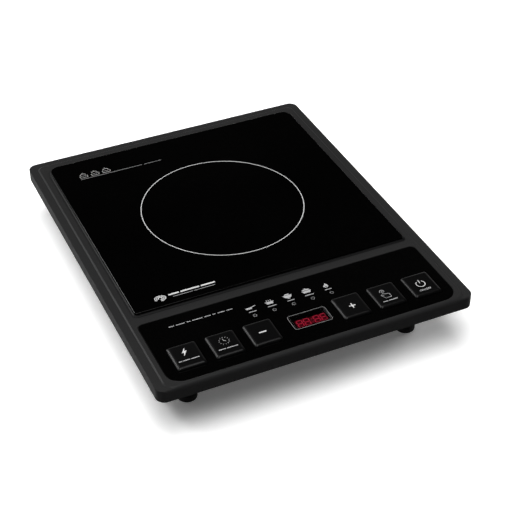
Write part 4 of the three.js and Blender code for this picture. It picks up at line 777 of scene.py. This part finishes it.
bolt = [(-103.4, -134.4), (-107.5, -139.9), (-105.7, -139.7), (-106.8, -143.9), (-102.7, -137.9),
        (-104.7, -138.2)]
filled("mark_bolt", [bolt], CAP_INK, PRINT_WHITE, body="power_level_button")
power_bars = dashes(-148.7, (-113.8, -110.6), (-109.8, -104.0), (-103.2, -96.0))
cap_mark("mark_power_level_label", "power_level", power_bars, 0.9)
dial_x, dial_y = -71.5, -140.0
ticks = [[(dial_x + r * math.cos(a), dial_y + r * math.sin(a)) for r in (3.7, 4.5)]
         for a in (math.radians(30 * i) for i in range(12))]
hands = [moved(dial_x, dial_y, (0, 0), tip) for tip in ((-0.8, 2.6), (1.2, -0.6))]
cap_mark("mark_dial", "timer", ticks + hands, 0.5)
cap_mark("mark_timer_label", "timer", dashes(-149, (-79.8, -73.8), (-73.0, -63.6)), 0.9)
cap_mark("mark_minus", "minus", dashes(-143.1, (-42.7, -36.2)), 1.45, PRINT_WHITE)
cross = dashes(-144.1, (37.7, 43.5)) + [[(40.6, -147.0), (40.6, -141.2)]]
cap_mark("mark_plus", "plus", cross, 1.15, PRINT_WHITE)
palm = [(70.0, -147.2), (68.0, -142.7), (68.9, -142.2), (70.2, -144.0), (70.2, -138.2), (71.3, -138.2),
        (71.5, -142.0), (72.4, -142.1), (73.5, -142.3), (74.5, -142.6), (75.6, -143.2), (75.4, -147.2)]
cap_mark("mark_hand", "function", [(palm, True), arc(70.8, -138.6, 2.0, -20, 200, 10)], 0.45)
cap_mark("mark_function_label", "function", dashes(-151.0, (65.6, 70.1), (70.9, 79.0)), 0.85)
standby = [arc(105.2, -142.9, 3.8, 125, 415), [(105.2, -142.0), (105.2, -138.0)]]
cap_mark("mark_standby", "on_off", standby, 0.72, PRINT_WHITE)

# %% [markdown]
# Text starts as a font curve. It becomes a mesh before it gets its place, so that its object can stay at
# the origin, and it is given a little height by an extrusion of the curve.

# %% The words on the switch
words = bpy.data.curves.new("switch_words", "FONT")
words.body = "ON/OFF"
words.size = 3.0
words.align_x = "CENTER"
words.align_y = "CENTER"
words.extrude = INK
words.offset = 0.045
on_off_words = from_curve("mark_on_off_words", words, CAP_INK, 1.0, PRINT_LABEL,
                          "on_off_button")
on_off_words.data.transform(Matrix.Translation(Vector((105.3, -151.0, 0)) * MM))
print("words are", round(on_off_words.dimensions.x / MM, 1), "mm long")

# %% [markdown]
# Over the lamps stand five small pictures of ways to cook, each with a bar for its name. They are filled
# outlines, made from arcs and straight lines, so each takes no more than a few points.

# %% Marks on the panel
PANEL_INK = PANEL_TOP + INK_LIFT
FINE_LINE, BAR_GAP = 0.28, 1.65
# Each picture is a list of closed outlines round its own middle.
pan = [[(-4.6, 0.9), (-3.9, -1.1), (0.6, -1.1), (1.3, 0.5), (5.0, 1.6), (4.8, 2.3), (1.2, 1.2)]]
wisp = [(0, 1.2), (0.7, 1.2), (1.0, 2.0), (0.6, 2.9), (0, 2.9), (0.4, 2.0)]
steam_pot = [[(-4.0, 0.7), (-4.0, 0.1), (-3.1, -0.1), (-2.7, -2.3), (2.7, -2.3), (3.1, -0.1), (4.0, 0.1),
              (4.0, 0.7)]]
steam_pot += [moved(shift, 0, *wisp) for shift in (-2.2, -0.4, 1.4)]
wok = [arc(0, 0.9, 3.6, 180, 360, 14, 0.85) + [(4.5, 1.5), (-4.5, 1.5)],
       [(-1.4, -2.5), (1.4, -2.5), (1.4, -3.1), (-1.4, -3.1)],
       arc(0, 2.0, 2.6, 0, 180, 10, 0.5)]
lidded_pot = [[(-4.2, 0.2), (-4.2, -0.5), (-3.4, -0.6), (-3.1, -2.5), (3.1, -2.5), (3.4, -0.6), (4.2, -0.5),
               (4.2, 0.2)],
              arc(0, 0.8, 3.5, 0, 180, 12, 0.5),
              [(-0.8, 2.8), (0.8, 2.8), (0.8, 3.5), (-0.8, 3.5)]]
flame = [[(0.2, 3.2), (2.0, 0.8), (2.3, -0.9), (1.2, -2.5), (-1.2, -2.5), (-2.3, -0.9), (-1.5, 0.9),
          (-0.7, 0.3)],
         [(0, -0.3), (0.8, -1.4), (0, -2.0), (-0.8, -1.4)]]
row = ((pan, -34.9, -109.6), (steam_pot, -17.8, -109.0), (wok, -0.9, -108.6), (lidded_pot, 16.1, -108.6),
       (flame, 33.7, -109.0))
pictures = [moved(x, y, *shape) for picture, x, y in row for shape in picture]
filled("panel_pictures", pictures, PANEL_INK, PRINT_LABEL)
names = ((-35.0, 3.4), (-17.6, 3.8), (-0.6, 3.2), (16.5, 4.0), (33.9, 3.0))
bars = dashes(-114.2, *((x - half, x + half) for x, half in names))
left = -104.4
for length in (4.6, 7.6, 3.2, 9.0, 5.6, 2.6, 6.4, 5.2):
    bars += dashes(-103.8, (left, left + length))
    left += length + BAR_GAP
strokes("panel_bars", bars, 0.95, PANEL_INK, PRINT_GREY)
rings = [(arc(x, y, 1.45), True) for x, y in LAMPS]
strokes("lamp_rings", rings, FINE_LINE, PANEL_TOP + INK, PRINT_GREY)
window_line = [(round_box(3.5, -141.15, 16.9, 8.75, 2.2), True)]
strokes("window_outline", window_line, FINE_LINE, PANEL_INK, PRINT_GREY)

# %% [markdown]
# The glass carries the ring of its cooking zone, a coil symbol with two rows of bars at the front left,
# and three small pictures of suitable pans at the back left over a thin line. Ink on glass is fired into
# it. The finest lines come out greyer than the rest, so they get a greyer ink.

# %% Marks on the glass
GLASS_INK = GLASS_TOP + INK_LIFT
ZONE_Y, ZONE_RADIUS = 29.2, 73.3


def glass_mark(name, lines, width, material=PRINT_WHITE, depth=2):
    return strokes(name, lines, width, GLASS_INK, material, depth=depth)


glass_mark("zone_ring", [(arc(0, ZONE_Y, ZONE_RADIUS, steps=160), True)], 0.78, depth=1)
glass_mark("coil_symbol", [arc(-98.6, -70.4, r, 215, -95, 24, 0.72) for r in (1.7, 3.2, 4.7)], 0.75)
glass_mark("glass_bars", dashes(-68.9, (-91.0, -81.6), (-80.2, -63.4), (-62.0, -49.2)), 1.9)
glass_mark("glass_bars_small", dashes(-72.3, (-88.0, -70.6), (-69.4, -50.6)), 0.6, PRINT_GREY)
small = []
for x in (-98.2, -87.1, -76.1):
    small.append((moved(x, 0, (-3.9, 128.6), (-3.2, 125.9), (3.2, 125.9), (3.9, 128.6)), True))
    small.append(moved(x, 0, (-2.9, 130.2), (-1.5, 131.9), (1.5, 131.9), (2.9, 130.2)))
    small += dashes(133.3, (x - 0.5, x + 0.5))
glass_mark("pan_pictures", small, 0.42)
glass_mark("glass_rule", dashes(123.6, (-102.5, -42.3), (-39.8, -23.0)), 0.4, PRINT_GREY)

# %% [markdown]
# ## Turned parts
# Feet and the cord gland are round, so each is one profile and a full spin. A lathe modifier would do the
# same, but bmesh's spin gives a finished mesh whose first and last points are merged.

# %% Helper: spin a profile
def turned(name, profile, centre, slot, replaces, axis=(0, 0, 1), closed=False):
    """Spins (radius, height) points about an axis through the centre, all in millimetres."""
    bm = bmesh.new()
    middle = Vector(centre)
    points = [bm.verts.new(middle + Vector((r, 0, 0)) + Vector(axis) * h) for r, h in profile]
    pairs = list(zip(points, points[1:])) + ([(points[-1], points[0])] if closed else [])
    wire = [bm.edges.new(pair) for pair in pairs]
    bmesh.ops.spin(bm, geom=points + wire, cent=middle, axis=axis, dvec=(0, 0, 0), angle=math.tau, steps=40,
                   use_merge=True)
    bmesh.ops.remove_doubles(bm, verts=bm.verts, dist=0.001)
    bmesh.ops.dissolve_degenerate(bm, dist=0.0001, edges=bm.edges)
    return piece(name, bm, slot, replaces, sharp=35)


# %% Model feet and gland
FOOT_X, FOOT_Y = 101.3, 130.0
GLAND = (95, 161.8, 26)
foot_profile = [(0, 1.0), (4.6, 1.0), (5.2, 0.9), (5.6, 0.35), (6.1, 0.05), (7.0, 0.0), (7.9, 0.25),
                (8.35, 0.75), (8.5, 1.4), (8.5, 4.9), (8.3, 5.35), (7.9, 5.5), (3.0, 5.5), (3.0, 9.7),
                (2.4, 10.5), (0, 10.5)]
for side, x in (("left", -FOOT_X), ("right", FOOT_X)):
    for end, y in (("front", -FOOT_Y), ("back", FOOT_Y)):
        turned(f"rubber_foot_{end}_{side}", foot_profile, (x, y, 0), "black_rubber", [f"foot_{end}_{side}"])
gland_profile = [(4.0, -3.3), (8.4, -3.3), (8.85, -3.1), (9.0, -2.7), (9.0, -1.6), (8.9, -1.5), (6.4, -1.5),
                 (6.4, 1.5), (8.9, 1.5), (9.0, 1.6), (9.0, 2.7), (8.8, 3.15), (8.3, 3.3), (7.2, 3.35),
                 (7.0, 3.6), (7.0, 4.3), (6.2, 4.5), (6.2, 5.1), (6.6, 5.3), (6.6, 5.8), (5.7, 6.0),
                 (5.7, 6.5), (5.9, 6.7), (5.8, 7.1), (5.4, 7.3), (4.3, 7.3), (4.0, 7.0)]
turned("rubber_gland", gland_profile, GLAND, "black_rubber", ["cord_gland"], axis=(0, 1, 0), closed=True)

# %% [markdown]
# ## The winding
# The coil is a flat spiral of stranded copper. One curve with a round section follows the spiral, which
# is simpler than any mesh operator, and it becomes a mesh straight away.

# %% Model the winding
COIL_INNER, COIL_OUTER = 23.9, 80.1
STRAND_WIDTH, STRAND_HALF_HEIGHT = 3.5, 2.05
turns, points_per_turn = 16, 44
spiral = []
for index in range(turns * points_per_turn + 1):
    radius = COIL_INNER + (COIL_OUTER - COIL_INNER) * index / (turns * points_per_turn)
    angle = math.tau * index / points_per_turn
    spiral.append((radius * math.cos(angle), ZONE_Y + radius * math.sin(angle)))
winding = strokes("copper_spiral", [spiral], STRAND_WIDTH, 49.6, FINISHES["copper_winding"],
                  thickness=STRAND_HALF_HEIGHT)
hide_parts("induction_coil")

# %% [markdown]
# ## Parts that keep their shape
# The tray, the boards, the fan and the other parts inside already have the right form, so they keep it.
# They only need softer edges and their finishes. The mesh comes in as loose triangles, so a Weld
# modifier joins them first, and then a Bevel modifier finds the edges by their angle.

# %% Finish the kept parts
lamp_tips, tree, shader = new_finish("lamp_acrylic", {"Transmission Weight": 0.15, "IOR": 1.4})
skin = use(tree, grain, {"Fineness": 900.0, "Drift": 40.0})
smoke = blend(tree, skin.outputs["Tone"], (0.003, 0.0028, 0.0025, 1.0), (0.006, 0.0055, 0.005, 1.0))
join(tree, smoke, shader.inputs["Base Color"])
FINISHES["clear_acrylic"] = lamp_tips

WELD = 0.00002  # metres
EDGE = 0.2
EDGES = {"lower_housing": 0.35, "heatsink": 0.15, "coil_former": 0.25, "fan_housing": 0.3, "fan_rotor": 0.1}
slots = {part["node"]: part["material_slot"] for part in frame["record"]["subparts"]}
for name, node in nodes.items():
    node.data.materials.clear()
    node.data.materials.append(FINISHES[slots[name]])
    joined = node.modifiers.new("weld", "WELD")
    joined.merge_threshold = WELD
    rounded = node.modifiers.new("soft_edges", "BEVEL")
    rounded.width = EDGES.get(name, EDGE) * MM
    rounded.segments = 2
    rounded.limit_method = "ANGLE"
    rounded.angle_limit = math.radians(35)
print("kept parts finished:", len(nodes))

# %% [markdown]
# ## Floor, world and lamps
# The cooktop stands on a white sweep. The floor is white because of its own finish: the camera and the
# reflections see pure white that takes the object's shadow, with a little light of its own that grows
# with the distance, so that the floor meets the white world without a line. Light that bounces from the
# floor is held back, or it would fill the dark skirt.

# %% Build the floor
FLOOR_HALF, FLOOR_DROP = 6.0, 0.0001  # metres; the drop keeps the feet from lying in the floor
GLOW_START, GLOW_END = 0.5, 1.5  # metres from the middle
GLOW_NEAR, GLOW_FAR = 0.1, 1.1
SEEN_WHITE, HELD_BACK = 1.25, 0.1  # how much light the floor gives back to the camera and to the object


def grey(value):
    return (value, value, value, 1.0)


def bare_tree(owner):
    """The emptied node tree of a material or a world."""
    owner.use_nodes = True
    owner.node_tree.nodes.clear()
    return owner.node_tree


def eased(tree, value, *limits):
    """A smooth step of a value: where it starts and ends, and what comes out at each."""
    return result(tree, "MapRange", (value, *limits), interpolation_type="SMOOTHSTEP")


bm = bmesh.new()
bmesh.ops.create_grid(bm, x_segments=8, y_segments=8, size=FLOOR_HALF)
bmesh.ops.translate(bm, vec=(0, 0, -FLOOR_DROP), verts=bm.verts)
mesh = bpy.data.meshes.new("studio_floor")
bm.to_mesh(mesh)
bm.free()
floor = placed("studio_floor", mesh)
paper = bpy.data.materials.new("white_sweep")
tree = bare_tree(paper)
path = add(tree, "LightPath").outputs
seen = math_node(tree, "MAXIMUM", path["Is Camera Ray"], path["Is Glossy Ray"])
seen = math_node(tree, "MAXIMUM", seen, path["Is Transmission Ray"])
away = vector_node(tree, "LENGTH", add(tree, "TexCoord").outputs["Object"])
own = result(tree, "Emission", (grey(1.0), eased(tree, away, GLOW_START, GLOW_END, GLOW_NEAR, GLOW_FAR)))
lit_white = result(tree, "BsdfDiffuse", [grey(SEEN_WHITE)])
bounce = result(tree, "BsdfDiffuse", [grey(HELD_BACK)])
surface = result(tree, "MixShader", (seen, bounce, result(tree, "AddShader", (own, lit_white))))
join(tree, surface, add(tree, "OutputMaterial").inputs["Surface"])
mesh.materials.append(paper)
print("the floor is", 2 * FLOOR_HALF, "m wide")

# %% [markdown]
# Behind the object the world is white. For reflections it is a studio: pale near the horizon behind and
# to the left, dark above and in front. A large lit card would do the same, but it would also throw
# light on the floor.

# %% Build the world
world = bpy.data.worlds.new("studio")
bpy.context.scene.world = world
tree = bare_tree(world)
look = add(tree, "TexCoord").outputs["Generated"]
ramp = add(tree, "ValToRGB")
stops = ramp.color_ramp.elements
stops[0].color, stops[1].color = grey(0.8), grey(0.006)  # at the horizon, and overhead
for position, value in ((0.2, 0.7), (0.42, 0.008)):
    stops.new(position).color = grey(value)
join(tree, result(tree, "SeparateXYZ", [look], "Z"), ramp.inputs["Fac"])


def towards(vector, *limits):
    """A smooth step as the view turns towards a direction."""
    return eased(tree, vector_node(tree, "DOT_PRODUCT", look, Vector(vector).normalized()), *limits)


sides = math_node(tree, "MULTIPLY", ramp.outputs["Color"], towards((-0.57, 0.82, 0.0), -0.4, 0.7, 0.12, 1.0))
level = math_node(tree, "ADD", sides, towards((-0.52, 0.72, 0.46), 0.78, 0.96, 0.0, 0.9))
studio = result(tree, "Background", (grey(0.8), level))
white = result(tree, "Background", (grey(1.0), 1.0))
seen = add(tree, "LightPath").outputs["Is Camera Ray"]
surface = result(tree, "MixShader", (seen, studio, white))
join(tree, surface, add(tree, "OutputWorld").inputs["Surface"])
print("the world is white to the camera and a studio to reflections")

# %% [markdown]
# Three soft boxes light it, as in a product studio. A wide one hangs overhead and makes the soft shadow
# under the tray. A narrow tall strip stands behind on the left and draws the bright lines on the left
# edges. A weak one on the right keeps the right side from going black. It is hidden from reflections,
# because a second bright patch in the glass and the caps would hide their black gloss.

# %% Hang the lamps
LAMP_AIM = Vector((0, 0, 0.05))


def soft_box(name, place, wide, tall, power):
    """A rectangular lamp that looks at the cooktop. Metres and watts."""
    data = bpy.data.lights.new(name, "AREA")
    data.shape = "RECTANGLE"
    data.size = wide
    data.size_y = tall
    data.energy = power
    made = placed(name, data)
    aim = (LAMP_AIM - Vector(place)).to_track_quat("-Z", "Y")
    made.matrix_world = Matrix.Translation(place) @ aim.to_matrix().to_4x4()
    return made


soft_box("overhead_box", (-0.25, -0.4, 1.95), 1.4, 2.0, 41.0)
soft_box("side_strip", (-0.92, 0.98, 0.62), 0.22, 1.1, 9.0)
fill = soft_box("fill_box", (1.4, 0.0, 0.42), 0.7, 0.5, 8.0)
fill.visible_glossy = False
print("the stage is set")
